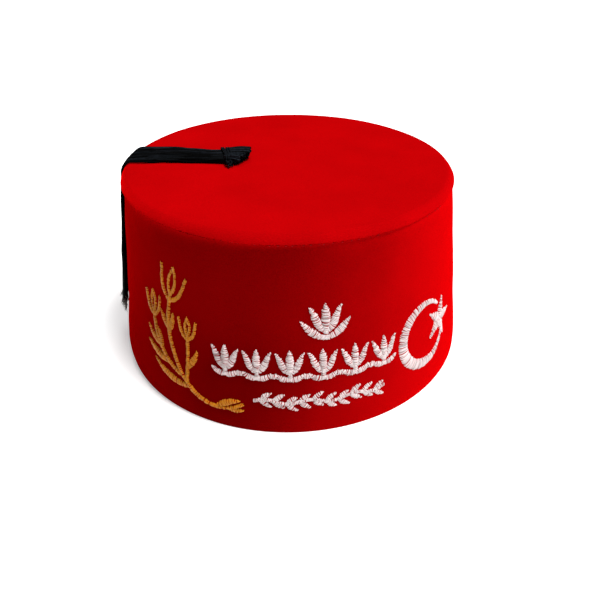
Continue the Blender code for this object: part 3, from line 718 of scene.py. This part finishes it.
def gold_spray():
    """Three tulips and their leaves, rising from one root, and a trailing stem."""
    strokes = []
    lines = {}
    for row in GOLD_LEAVES:
        stem = GOLD_STEMS[row.stem]
        reach = sweep((stem.along, stem.up), stem.heading, stem.length, stem.turn, 0, STEM_STEPS)
        root = reach[round(row.share * STEM_STEPS)]
        heading = stem.heading + stem.turn * row.share + row.side * row.lean
        blade = sweep(root, heading, row.length, -row.side * row.turn)
        strokes.append(Stroke(blade, leaf(row.width, fullest=0.42), 0))
    for name, row in GOLD_STEMS.items():
        lines[name] = sweep((row.along, row.up), row.heading, row.length, row.turn)
        strokes.append(Stroke(lines[name], even(row.root_width, row.tip_width), 1))
    for row in GOLD_FLOWERS:
        line = lines[row.stem]
        strokes += outlined_tulip(line[-1], end_heading(line), row.height, row.line)
    return strokes


def white_palmette():
    """A tulip between two long leaves."""
    along, up = PALMETTE_FOOT
    leaves = pair((along, up + 0.8), 90, PALMETTE_LEAF, 1, leaf(3.5, 1.8, 0.5), 0, LEAF_CROSSING)
    return leaves + filled_tulip((along, up + 3.8), PALMETTE_HEIGHT)


def white_border():
    """A row of tulips linked by their leaves, with a bead between each two."""
    strokes = []
    for k in range(BORDER_TULIPS):
        along = BORDER_FIRST + BORDER_PITCH * k
        strokes += pair((along, BORDER_FOOT + 0.2), 90, BORDER_LEAF, 1, leaf(2.7, 1.8), 0, LEAF_CROSSING)
        strokes += filled_tulip((along, BORDER_FOOT + 2.8), BORDER_HEIGHT)
    for k in range(BORDER_TULIPS - 1):
        left = (BORDER_FIRST + BORDER_PITCH * (k + 0.5) - BORDER_BEAD / 2, BORDER_FOOT + BEAD_RISE)
        bead = [left, (left[0] + BORDER_BEAD, left[1])]
        strokes.append(Stroke(bead, even(BEAD_WIDTH, BEAD_WIDTH), 1))
    return strokes


def white_garland():
    """A gently waving stem with pairs of leaves."""
    def on_stem(s):
        wave = math.sin(2 * math.pi * (s - GARLAND_FROM) / GARLAND_PERIOD)
        return (s, GARLAND_UP + GARLAND_WAVE * wave)

    strokes = []
    s = GARLAND_FROM + GARLAND_ENDS[0]
    while s < GARLAND_TO - GARLAND_ENDS[1]:
        strokes += pair(on_stem(s), 0, GARLAND_LEAF, 1, leaf(2.5, 1.2, 0.5))
        s += GARLAND_LEAF_PITCH
    stem = [on_stem(s) for s in np.linspace(GARLAND_FROM, GARLAND_TO, 81)]
    return strokes + [Stroke(stem, even(1.7, 1.4), 1)]


def crescent_and_star():
    """A crescent open to the right, and a five-pointed star in its opening."""
    shift = Vector(CRESCENT_HOLLOW_SHIFT)
    opening = math.degrees(math.atan2(shift.y, shift.x))
    shares = np.linspace(0, 1, CRESCENT_STEPS + 1)
    middle_line, widths = [], []
    for share in shares:
        degrees = opening + between(CRESCENT_OPENING, 360.0 - CRESCENT_OPENING, share)
        towards = Vector(heading_point((0.0, 0.0), degrees, 1.0)).dot(shift)
        reach = towards + math.sqrt(towards ** 2 - shift.length_squared + CRESCENT_HOLLOW_RADIUS ** 2)
        towards_tip = smooth((share - CRESCENT_TAPER_FROM) / (1.0 - CRESCENT_TAPER_FROM))
        width = (CRESCENT_RADIUS - reach) * between(1.0, CRESCENT_TIP_SHARE, towards_tip)
        middle_line.append(heading_point(CRESCENT_CENTRE, degrees, CRESCENT_RADIUS - width / 2))
        widths.append(width)
    strokes = [Stroke(middle_line, lambda t: float(np.interp(t, shares, widths)), 0)]
    half_angle = math.pi / STAR_RAYS
    broadest = STAR_WAIST * math.cos(half_angle) / STAR_RADIUS
    breadth = 2 * STAR_WAIST * math.sin(half_angle)

    def ray_width(t):
        return breadth * min(t / broadest, (1.0 - t) / (1.0 - broadest))

    for ray in range(STAR_RAYS):
        tip = heading_point(STAR_CENTRE, STAR_TURN + 360 / STAR_RAYS * ray, STAR_RADIUS)
        strokes.append(Stroke([STAR_CENTRE, tip], ray_width, ray % 2))
    return strokes


# ---- its stitches

STITCH_PITCH = 0.52  # from one satin stitch to the next
STITCH_RADIUS = 0.22
STITCH_FLATNESS = 0.8
STITCH_STOPS = 9  # points along one stitch
STITCH_SIDES = 6  # and round it
STITCH_DRIFT = 0.23  # how far a stitch lies from its even place, so that the cloth shows between
STITCH_SLANT = (-0.3, 1.6)  # how far on its one end is than the other, in pitches
RAGGED_EDGE = (-0.192, 0.32)  # how far its ends reach past the stroke's edge
STITCH_TONES = (0.78, 1.0)  # darkest and lightest stitch
STITCH_LIFTS = (-0.10, 0.08)  # how far off its even height it lies
SUNKEN_SHARE = 0.13  # share of the stitches that lie deeper, in the shade of the others
SUNKEN_DROP = 0.14
# painted shade on the stitches that lie deeper
SUNKEN_PAINTED_SHADE = 0.6
SUNK = -0.35  # how deep the ends of a stitch go into the pile
LAYER = 0.16  # a stroke that crosses another lies this much higher
THIN_LIFT = 0.26  # height of the thinnest stroke's middle over the wall
WIDE_LIFT = 0.36  # what a stroke of WIDE adds to it
WIDE = 3.4
PADDING_PITCH = 0.8
PADDING_SIDES = (-0.86, -0.45, 0.0, 0.45, 0.86)  # points across the ridge, in half widths
PADDING_UNDER = 0.75 * STITCH_RADIUS  # how far it lies under the stitches' middle
PADDING_EDGE = -0.2  # height where its dome would end
PADDING_FOOT = -0.45
PADDING_TONE = 0.8


def on_wall(place, out):
    """A flat place of the embroidery, wrapped onto the wall and `out` from it."""
    s, z = place
    azimuth = -math.pi / 2 + s / EMBROIDERY_RADIUS
    return leaned(round_axis(wall_radius(z) + shaped(azimuth, z) + out, azimuth, z))


def along_stroke(stroke, pitch):
    """(place, unit direction, unit vector across, width, height of the middle) every `pitch`."""
    line = [Vector(p) for p in stroke.points]
    lengths = [(b - a).length for a, b in zip(line, line[1:])]
    total = sum(lengths)
    count = max(round(total / pitch), 2)
    found, k, passed = [], 0, 0.0
    for i in range(count):
        want = (i + 0.5) / count * total
        while k < len(lengths) - 1 and passed + lengths[k] < want:
            passed += lengths[k]
            k += 1
        direction = (line[k + 1] - line[k]).normalized()
        across = Vector((-direction.y, direction.x))
        width = max(stroke.width(want / total), THINNEST)
        lift = THIN_LIFT + WIDE_LIFT * min(width / WIDE, 1.25) + LAYER * stroke.layer
        found.append((line[k] + direction * (want - passed), direction, across, width, lift))
    return found


def satin_threads(strokes, rng):
    """Threads laid side by side across each stroke: their shape, and a tone for each point."""
    paths, outward, tones = [], [], []
    for stroke in strokes:
        for place, direction, across, width, lift in along_stroke(stroke, STITCH_PITCH):
            left = width / 2 + rng.uniform(*RAGGED_EDGE)
            right = width / 2 + rng.uniform(*RAGGED_EDGE)
            slant = STITCH_PITCH * rng.uniform(*STITCH_SLANT)
            sunken = rng.random() < SUNKEN_SHARE
            place = place + direction * rng.uniform(-STITCH_DRIFT, STITCH_DRIFT)
            lift += rng.uniform(*STITCH_LIFTS) - (SUNKEN_DROP if sunken else 0.0)
            path, normals = [], []
            for u in np.linspace(-1, 1, STITCH_STOPS):
                spot = place + across * (u * (right if u > 0 else left)) + direction * slant * u / 2
                arch = (1.0 - abs(u) ** 2.8) ** 0.75
                path.append(on_wall(spot, between(SUNK, lift, arch)))
                normals.append(on_wall(spot, 2.0) - on_wall(spot, 0.0))
            paths.append(path)
            outward.append(normals)
            # a sunken stitch also gets painted shade
            tones.append(rng.uniform(*STITCH_TONES) * (SUNKEN_PAINTED_SHADE if sunken else 1.0))
    radii = [[STITCH_RADIUS * rng.uniform(0.9, 1.1)] for path in paths]
    shape = tubes(paths, radii, np.array(outward), STITCH_SIDES, STITCH_FLATNESS)
    return shape, np.repeat(tones, len(shape[0]) // len(paths))


def padding(strokes):
    """The closed, domed ridge of cloth under the stitches of each stroke."""
    points, faces = [], []
    for stroke in strokes:
        rings = []
        for place, direction, across, width, lift in along_stroke(stroke, PADDING_PITCH):
            dome = lift - PADDING_UNDER - PADDING_EDGE
            ring = [(u, PADDING_EDGE + dome * (1 - u * u) ** 0.5) for u in PADDING_SIDES]
            ring += [(PADDING_SIDES[-1], PADDING_FOOT), (PADDING_SIDES[0], PADDING_FOOT)]
            rings.append([on_wall(place + across * width / 2 * u, out) for u, out in ring])
        first, size = len(points), len(rings[0])
        last = first + (len(rings) - 1) * size
        points += [point for ring in rings for point in ring]
        for low in range(first, last, size):
            high = low + size
            for i in range(size):
                j = (i + 1) % size
                faces.append([low + i, high + i, high + j, low + j])
        faces.append([first + i for i in range(size)])
        faces.append([last + i for i in reversed(range(size))])
    return np.array(points), faces, np.zeros((sum(map(len, faces)), 2))


def satin_stitches(name, strokes, finishes, seed):
    """Satin stitch over padding; finishes are the thread's and the cloth's."""
    threads, tones = satin_threads(strokes, random.Random(seed))
    ridges = padding(strokes)
    tones = np.concatenate([tones, np.full(len(ridges[0]), PADDING_TONE)])
    finish_of_face = [0] * len(threads[1]) + [1] * len(ridges[1])
    return add_mesh(name, joined([threads, ridges]), finishes, tones, finish_of_face)


# ---- the tassel

TASSEL_LINE_Y = 2.7  # the middle of the neck, measured across the tassel
GAP = 0.3  # between the cloth and what lies on it
NECK = 31.0  # from the hat's axis to the neck
HANG_TO = 15.0  # the longest thread ends this far above the ground
RAGGED = 8.0  # the shortest ends this much higher
LOOSE_FROM = 57.0  # below this height the threads hang apart
SWINGS = (0.48, 2.4)  # how far off the wall a thread ends
STRANDS = 84
STRAND_RADIUS = 0.40
NECK_STRAND_RADIUS = 0.36  # where the binding squeezes them
STRAND_STOPS = (22, 12, 37)  # points along a thread on the top, over the rim and down the wall
RIM_MARGIN = 2.0  # how far the rim's stretch reaches onto the other two
RIM_LEVELS = 3  # layers of threads over the rim
NECK_LEVELS = 4  # and in the neck
THIN_EDGE = 0.30  # thickness of the bundle at its edges, as a share
THREAD_SIDES = 7
STRAND_TONES = (0.01, 0.74)  # darkest and palest thread
HEAD_TONES = (0.01, 0.85)
FLECK_TONES = (0.35, 1.65)  # how far the tone changes along one thread
FRAYS_PER_STRAND = 5
FRAY_STOPS = 7
FRAY_LENGTHS = (2.4, 5.6)
FRAY_SPREADS = (0.10, 0.30)  # how strongly it bends aside
FRAY_RADII = (0.15, 0.06)  # at its root and its end

HEAD_LOOPS = 44
HEAD_LEVELS = 3
HEAD_RADIUS = 0.40
HEAD_LENGTH = 12.0
HEAD_FAN = (6.3, 7.8)  # from the head's middle to its side, at its root and its end
HEAD_DRIFT = -1.4  # how far its end lies to the -Y side of the neck
HEAD_CUT = 0.40  # share of its length that the head lacks at its -Y side
HEAD_STEP = 0.06  # share by which each lower layer is shorter
HEAD_TURN = 0.40  # how far a thread's turn reaches past its two legs
HEAD_LOWEST = (1.2, 0.5)  # height of the lowest thread in the neck and at the end
HEAD_PITCH = (0.45, 0.70)  # from one thread up to the next, at the same two places

BINDING_TURNS = 4
BINDING_STEPS = 40  # points round one turn
BINDING_RADIUS = 0.5
BINDING_PITCH = 2.05 * BINDING_RADIUS
BINDING_OUT = 0.9 * BINDING_RADIUS  # how far its middle lies outside the bundle
BINDING_SLANT = 0.26  # how far along the tassel the turns run, for each length across
BINDING_TONE = 0.22
KNOT_MIDDLE = (NECK - 1.7, -10.4, 1.45)  # along the tassel, across it and up
KNOT_SIZE = (0.52, 0.62, 0.62)
KNOT_TURN = 0.985 * 2 * math.pi  # not quite round, so that its ends stay apart
KNOT_RADIUS = 0.46
TAIL_START = (NECK - 1.9, -11.0)
TAIL_HEIGHTS = (1.4, 0.5)
TAIL_RADIUS = 0.40
TAILS = ((-20, 3.4), (22, 2.8))  # heading in degrees, and length


def line_normals(line):
    """The outward direction at each corner of a line."""
    sides = []
    for a, b in zip(line, line[1:]):
        along = (Vector(b) - Vector(a)).normalized()
        sides.append(Vector((-along.y, along.x)))
    halfway = [(a + b).normalized() for a, b in zip(sides, sides[1:])]
    return [sides[0], *halfway, sides[-1]]


# What the threads lie on: the top, the roll, and the wall's cone below it.
HAT_LINE = [(0.0, HEIGHT), *rim_profile(12)[::-1], (BASE_RADIUS, 0.0)]
HAT_COLUMNS = np.concatenate([HAT_LINE, line_normals(HAT_LINE)], axis=1).T
HAT_RUN = np.cumsum([0.0, *(math.dist(a, b) for a, b in zip(HAT_LINE, HAT_LINE[1:]))])
RIM_START = HAT_RUN[1]
WALL_START = HAT_RUN[-2]


def on_hat(distance, across, height):
    """A point of the tassel.

    distance runs from the hat's axis out along the top, over the rim and down the wall;
    across is +Y of the middle of the neck; height is above the cloth.
    """
    line = [np.interp(distance, HAT_RUN, column) for column in HAT_COLUMNS]
    radius, z = Vector(line[:2]) + Vector(line[2:]).normalized() * (height + GAP)
    y = TASSEL_LINE_Y + across
    rounding = smooth((radius - 0.6 * TOP_RADIUS) / (0.34 * TOP_RADIUS))
    round_x = math.sqrt(max(radius * radius - y * y, 0.0))
    return leaned((-between(radius, round_x, rounding), y, z))


def down_to(z):
    """The distance along the tassel's line at which the wall is z above the ground."""
    return between(HAT_RUN[-1], WALL_START, z / SEAM_HEIGHT)


Section = namedtuple("Section", "distance middle half_width thickness lift")

# The tied threads from the neck to where they hang apart: middle is measured across,
# lift is the clearance under the threads, where the binding passes.
TASSEL_SECTIONS = (
    Section(NECK - 8.0, -1.0, 7.4, 2.8, 0.6),
    Section(NECK - 3.0, -1.0, 7.4, 2.8, 0.8),
    Section(NECK, -1.0, 7.1, 2.8, 0.8),
    Section(NECK + 3.0, -0.7, 7.3, 2.8, 0.8),
    Section(NECK + 9.0, 0.5, 8.0, 2.8, 0.2),
    Section(NECK + 18.0, 2.1, 8.9, 2.6, 0.0),
    Section(NECK + 34.0, 3.9, 10.2, 2.0, 0.0),
    Section(RIM_START, 5.2, 11.0, 1.2, 0.0),
    Section(WALL_START + 2.0, 4.4, 11.8, 1.0, 0.0),
    Section(down_to(80.0), 1.8, 12.6, 1.2, 0.0),
    Section(down_to(66.0), 0.5, 13.6, 1.8, 0.1),
    Section(down_to(50.0), -0.4, 14.2, 2.5, 0.4),
)
SECTION_COLUMNS = list(zip(*TASSEL_SECTIONS))


def section_at(distance):
    """Sizes between the named sections, evenly from each to the next."""
    return Section(*(np.interp(distance, SECTION_COLUMNS[0], column) for column in SECTION_COLUMNS))


def wander(distance, seed, reach):
    """A slow drift of a thread from its straight line."""
    return noise.noise(Vector((distance / 17.0, seed * 7.31, 0.0))) * reach


def strand(n, rng):
    """(points, radii) of one thread, from the neck over the rim to its ragged end."""
    u = (n + 0.5) / STRANDS * 2 - 1
    end = down_to(HANG_TO + RAGGED * rng.random() ** 1.3)
    loose = down_to(LOOSE_FROM)
    swing = rng.uniform(*SWINGS)
    fan = rng.uniform(-0.6, 1.5) * (1 if u > 0 else -1) + 1.5 * u
    flick = rng.uniform(-1.2, 1.2)
    kick = rng.uniform(-0.6, 0.8)
    flick_from = 0.72
    corners = (NECK - 1.0, RIM_START - RIM_MARGIN, WALL_START + RIM_MARGIN, end)
    stops = []
    for a, b, count in zip(corners, corners[1:], STRAND_STOPS):
        stops += [between(a, b, k / count) for k in range(count)]
    points, radii = [], []
    for distance in [*stops, end]:
        size = section_at(distance)
        freed = smooth((distance - NECK - 3.0) / 24.0)
        level = between(2 * n % NECK_LEVELS / (NECK_LEVELS - 1), n % RIM_LEVELS / (RIM_LEVELS - 1), freed)
        radius = between(NECK_STRAND_RADIUS, STRAND_RADIUS, freed)
        room = (size.thickness - 2 * radius) * between(THIN_EDGE, 1.0, (1.0 - u * u) ** 0.3)
        across = size.middle + (size.half_width - radius) * u + wander(distance, n, between(0.3, 1.5, freed))
        height = size.lift + radius + room * level + wander(distance, n + 0.5, 0.3) * freed
        t = max(distance - loose, 0.0) / (end - loose)
        across += fan * t * t + flick * max(t - flick_from, 0.0) / (1.0 - flick_from) * t ** 6
        height = max(height, radius) + swing * t ** 1.6 + kick * t ** 9
        points.append(on_hat(distance, across, height))
        radii.append(radius * (1.0 - 0.25 * t ** 8))
    return points, radii


def black_threads(name, paths, radii, finish, rng, tones):
    """Many threads as one piece: most of them are dark, and each has paler flecks."""
    shape = tubes(paths, radii, (0.0, 1.0, 0.0), THREAD_SIDES)
    point_tones = []
    for n, path in enumerate(paths):
        own = between(*tones, rng.random() ** 3)
        flecks = [0.5 + noise.noise(Vector((n * 5.3, stop * 0.9, 0.0))) for stop in range(len(path))]
        along = [own * between(*FLECK_TONES, fleck) for fleck in flecks]
        point_tones += [*np.repeat(along, THREAD_SIDES), along[0], along[-1]]
    return add_mesh(name, shape, (finish,), point_tones)


def tassel_strands(finish):
    """The threads of the tassel, side by side in a flat bundle."""
    rng = random.Random(5)
    paths, radii = zip(*(strand(n, rng) for n in range(STRANDS)))
    return black_threads("tassel_strands", paths, radii, finish, rng, STRAND_TONES), paths


def tassel_frays(finish, strand_paths):
    """Fibres that have come loose at the cut end of each thread."""
    rng = random.Random(8)
    paths = []
    for path in strand_paths:
        onward = (path[-1] - path[-4]).normalized()
        for fibre in range(FRAYS_PER_STRAND):
            aside = Vector((rng.gauss(0, 1), rng.gauss(0, 1), rng.gauss(0, 0.5)))
            aside -= onward * aside.dot(onward)
            length = rng.uniform(*FRAY_LENGTHS)
            spread = rng.uniform(*FRAY_SPREADS)
            start = path[-1] - onward * 2.0 + aside.normalized() * 0.22
            shares = np.linspace(0, 1, FRAY_STOPS)
            paths.append([start + onward * length * t + aside * (spread * length * t * t) for t in shares])
    paths = np.array(paths)
    lowest = 1.0
    paths[:, :, 2] = np.maximum(paths[:, :, 2], lowest)
    shape = tubes(paths, np.linspace(*FRAY_RADII, FRAY_STOPS), (0.0, 1.0, 0.0), 4)
    tones = [between(0.03, 1.0, rng.random() ** 1.4) for path in paths]
    return add_mesh("tassel_frays", shape, (finish,), np.repeat(tones, len(shape[0]) // len(paths)))


def head_loop(n, rng):
    """A thread that leaves the neck, turns round at the end of the head and comes back."""
    u = (n + 0.5) / HEAD_LOOPS * 2 - 1
    level = n % HEAD_LEVELS
    lacks = HEAD_CUT * max(-u, 0.0) + HEAD_STEP * (HEAD_LEVELS - 1 - level)
    length = HEAD_LENGTH * (1.0 - lacks) + rng.uniform(-0.8, 0.5)
    sideways = rng.uniform(-0.8, 0.8)

    def leg(t, upper):
        rise = 0.35 * math.sin(math.pi * t)
        lowest = between(*HEAD_LOWEST, smooth(1.4 * t))
        pitch = between(*HEAD_PITCH, smooth(1.3 * t))
        middle = section_at(NECK).middle + HEAD_DRIFT * t
        across = middle + between(*HEAD_FAN, t) * u + sideways * t * t * (0.4 + 0.6 * upper)
        height = lowest + pitch * (2 * level + upper) + rise
        return between(NECK + 0.6, NECK - length + HEAD_TURN, t), across, height

    shares = np.arange(12) / 12
    low, high = leg(1.0, 0), leg(1.0, 1)
    points = [leg(t, 0) for t in shares]
    for share in np.linspace(0, 1, 7):
        distance = low[0] - HEAD_TURN * math.sin(math.pi * share)
        height = between(low[2], high[2], 0.5 - 0.5 * math.cos(math.pi * share))
        points.append((distance, between(low[1], high[1], share), height))
    points += [leg(t, 1) for t in shares[::-1]]
    return [on_hat(*point) for point in points]


def tassel_head(finish):
    """The looped ends of the threads, fanned out behind the neck."""
    rng = random.Random(21)
    paths = [head_loop(n, rng) for n in range(HEAD_LOOPS)]
    return black_threads("tassel_head", paths, HEAD_RADIUS, finish, rng, HEAD_TONES)


def neck_wrap():
    """The thread wound round the neck, a little aslant."""
    neck = section_at(NECK)
    half_width = neck.half_width + BINDING_OUT
    half_height = neck.thickness / 2 + BINDING_OUT
    points = []
    for k in range(BINDING_TURNS * BINDING_STEPS + 1):
        angle = 2 * math.pi * k / BINDING_STEPS - 0.9
        turn = k / BINDING_STEPS - BINDING_TURNS / 2
        cosine, sine = math.cos(angle), math.sin(angle)
        across = neck.middle + half_width * math.copysign(abs(cosine) ** 0.8, cosine)
        height = neck.lift + neck.thickness / 2 + half_height * math.copysign(abs(sine) ** 0.7, sine)
        wobble = 0.25 * math.sin(1.7 * turn + angle)
        distance = NECK + BINDING_PITCH * turn + BINDING_SLANT * across + wobble
        points.append(on_hat(distance, across, max(height, BINDING_RADIUS)))
    return points


def neck_knot():
    """The knot's thread, crossing itself three times."""
    points = []
    for a in np.linspace(0.0, KNOT_TURN, 73):
        bend = (math.cos(a) - 2 * math.cos(2 * a), math.sin(a) + 2 * math.sin(2 * a), -math.sin(3 * a))
        points.append(on_hat(*(m + size * b for m, size, b in zip(KNOT_MIDDLE, KNOT_SIZE, bend))))
    return points


def knot_tail(heading, length):
    """A short end of the binding's thread, lying on the cloth."""
    points = []
    for t in np.linspace(0, 1, 12):
        angle = math.radians(heading) + 0.5 * t
        distance = TAIL_START[0] - length * t * math.sin(angle)
        across = TAIL_START[1] - length * t * math.cos(angle)
        points.append(on_hat(distance, across, between(*TAIL_HEIGHTS, smooth(1.6 * t))))
    return points


def tassel_tie(finish):
    """The winding round the neck, its knot and the knot's two short ends."""
    knot = np.array([neck_knot()])
    tails = [knot_tail(*row) for row in TAILS]
    shape = joined([
        tubes([neck_wrap()], BINDING_RADIUS, (1.0, 0.0, 0.0), 9),
        tubes(knot, KNOT_RADIUS, knot - np.array(on_hat(*KNOT_MIDDLE)), 8),
        tubes(tails, TAIL_RADIUS, (0.0, 0.0, 1.0), 7),
    ])
    return add_mesh("tassel_tie", shape, (finish,), BINDING_TONE)


# ---- stage, lights and camera

CAMERA_PLACE = Vector((0.0, -273.18, 198.28)) * MM
CAMERA_YAW = -0.584  # degrees
CAMERA_PITCH = -34.203
CAMERA_ROLL = 1.268  # clockwise
CAMERA_LENS = 33.72  # on a 36 mm wide sensor
FLOOR_HALF = 12000.0  # half of the floor's side
FLOOR_GLOW = 0.42
ROOM_LIGHT = 0.06
SUN_SPREAD = 25.0  # degrees across, so that the shadows are soft

Sun = namedtuple("Sun", "name azimuth elevation strength")  # degrees from +X towards +Y, and up
SUNS = (
    Sun("key_light", -15, 65, 4.9),
    Sun("low_right_light", -14, 20, 0.4),
    Sun("back_light", 90, 60, 1.0),
)


def add_camera():
    lens = bpy.data.cameras.new("camera")
    lens.lens = CAMERA_LENS
    lens.sensor_width = 36.0
    lens.clip_start = 1 * MM
    lens.clip_end = 100000 * MM
    camera = add_object("camera", lens)
    camera.location = CAMERA_PLACE
    turned = Euler((math.radians(90.0 + CAMERA_PITCH), 0.0, math.radians(CAMERA_YAW))).to_matrix()
    rolled = Euler((0.0, 0.0, math.radians(-CAMERA_ROLL))).to_matrix()
    camera.rotation_euler = (turned @ rolled).to_euler()
    bpy.context.scene.camera = camera


def add_sun(row):
    lamp = bpy.data.lights.new(row.name, "SUN")
    lamp.energy = row.strength
    lamp.angle = math.radians(SUN_SPREAD)
    elevation = math.radians(row.elevation)
    towards = round_axis(math.cos(elevation), math.radians(row.azimuth), math.sin(elevation))
    add_object(row.name, lamp).rotation_euler = towards.to_track_quat("Z", "Y").to_euler()


def add_stage():
    """A plain pale floor, lit from below as a light table is."""
    paper = new_material("floor_paper", FLOOR_WHITE, 0.9, 0.0)
    connect(shader_of(paper), {"Emission Color": FULL_WHITE, "Emission Strength": FLOOR_GLOW})
    corners = [(FLOOR_HALF * x, FLOOR_HALF * y, 0.0) for x, y in ((-1, -1), (1, -1), (1, 1), (-1, 1))]
    add_mesh("floor", (corners, [(0, 1, 2, 3)], None), (paper,))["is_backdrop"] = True


def add_lights():
    """Soft suns in a dim room; the camera sees a white background instead of the room."""
    world = bpy.data.worlds.new("studio")
    world.use_nodes = True
    tree = world.node_tree
    room = tree.nodes["Background"]
    connect(room, {"Color": FULL_WHITE, "Strength": ROOM_LIGHT})
    white = add_node(tree, "ShaderNodeBackground", {"Color": FULL_WHITE, "Strength": 1.0})
    seen = add_node(tree, "ShaderNodeLightPath").outputs["Is Camera Ray"]
    inputs = {"Fac": seen, 1: room.outputs["Background"], 2: white.outputs["Background"]}
    either = add_node(tree, "ShaderNodeMixShader", inputs)
    connect(tree.nodes["World Output"], {"Surface": either.outputs["Shader"]})
    bpy.context.scene.world = world
    for row in SUNS:
        add_sun(row)


# ---- the hat

def dressed(piece, slot, *nodes):
    """The piece rides on the hat and stands for the named solids; slot is not used."""
    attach(piece, "root")
    if nodes:
        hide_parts(*nodes)


def build_hat():
    cloth = velvet()
    inner = backing()
    dressed(crown_side((cloth, inner)), "velvet", "crown_side")
    dressed(crown_top((cloth, inner)), "velvet", "crown_top")
    dressed(seam_stitches(thread("seam_thread", SEAM_RED, 0.6, 0.1, 0.9, 0.03)), "velvet")
    black = thread("black_thread", BLACK, 0.75, 0.03, 1.7, 0.012)
    strands, strand_paths = tassel_strands(black)
    dressed(strands, "tassel_thread", "tassel")
    dressed(tassel_head(black), "tassel_thread")
    frayed = thread("frayed_thread", FRAY_GREY, 0.6, 0.3, 1.0, 0.0)
    dressed(tassel_frays(frayed, strand_paths), "tassel_thread")
    dressed(tassel_tie(black), "tassel_thread", "tassel_binding")
    gold = thread("gold_thread", GOLD, 0.34, 0.6, 0.8, 0.06)
    connect(shader_of(gold), {"Specular Tint": GOLD_SHINE})
    white = thread("white_thread", WHITE, 0.40, 0.6, 0.8, 0.06, 0.35)
    for node, strokes, finish, slot, seed in (
        ("gold_spray", gold_spray(), gold, "gold_thread", 31),
        ("white_palmette", white_palmette(), white, "white_thread", 41),
        ("white_border", white_border(), white, "white_thread", 42),
        ("white_garland", white_garland(), white, "white_thread", 43),
        ("crescent_and_star", crescent_and_star(), white, "white_thread", 44),
    ):
        dressed(satin_stitches(node + "_stitches", strokes, (finish, cloth), seed), slot, node)


bpy.context.scene.view_settings.view_transform = "Standard"
add_camera()
add_stage()
add_lights()
build_hat()

boxes = {"cad": cad_box, "visual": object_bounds()}
{name: [list(map(float, corner)) for corner in box] for name, box in boxes.items()}
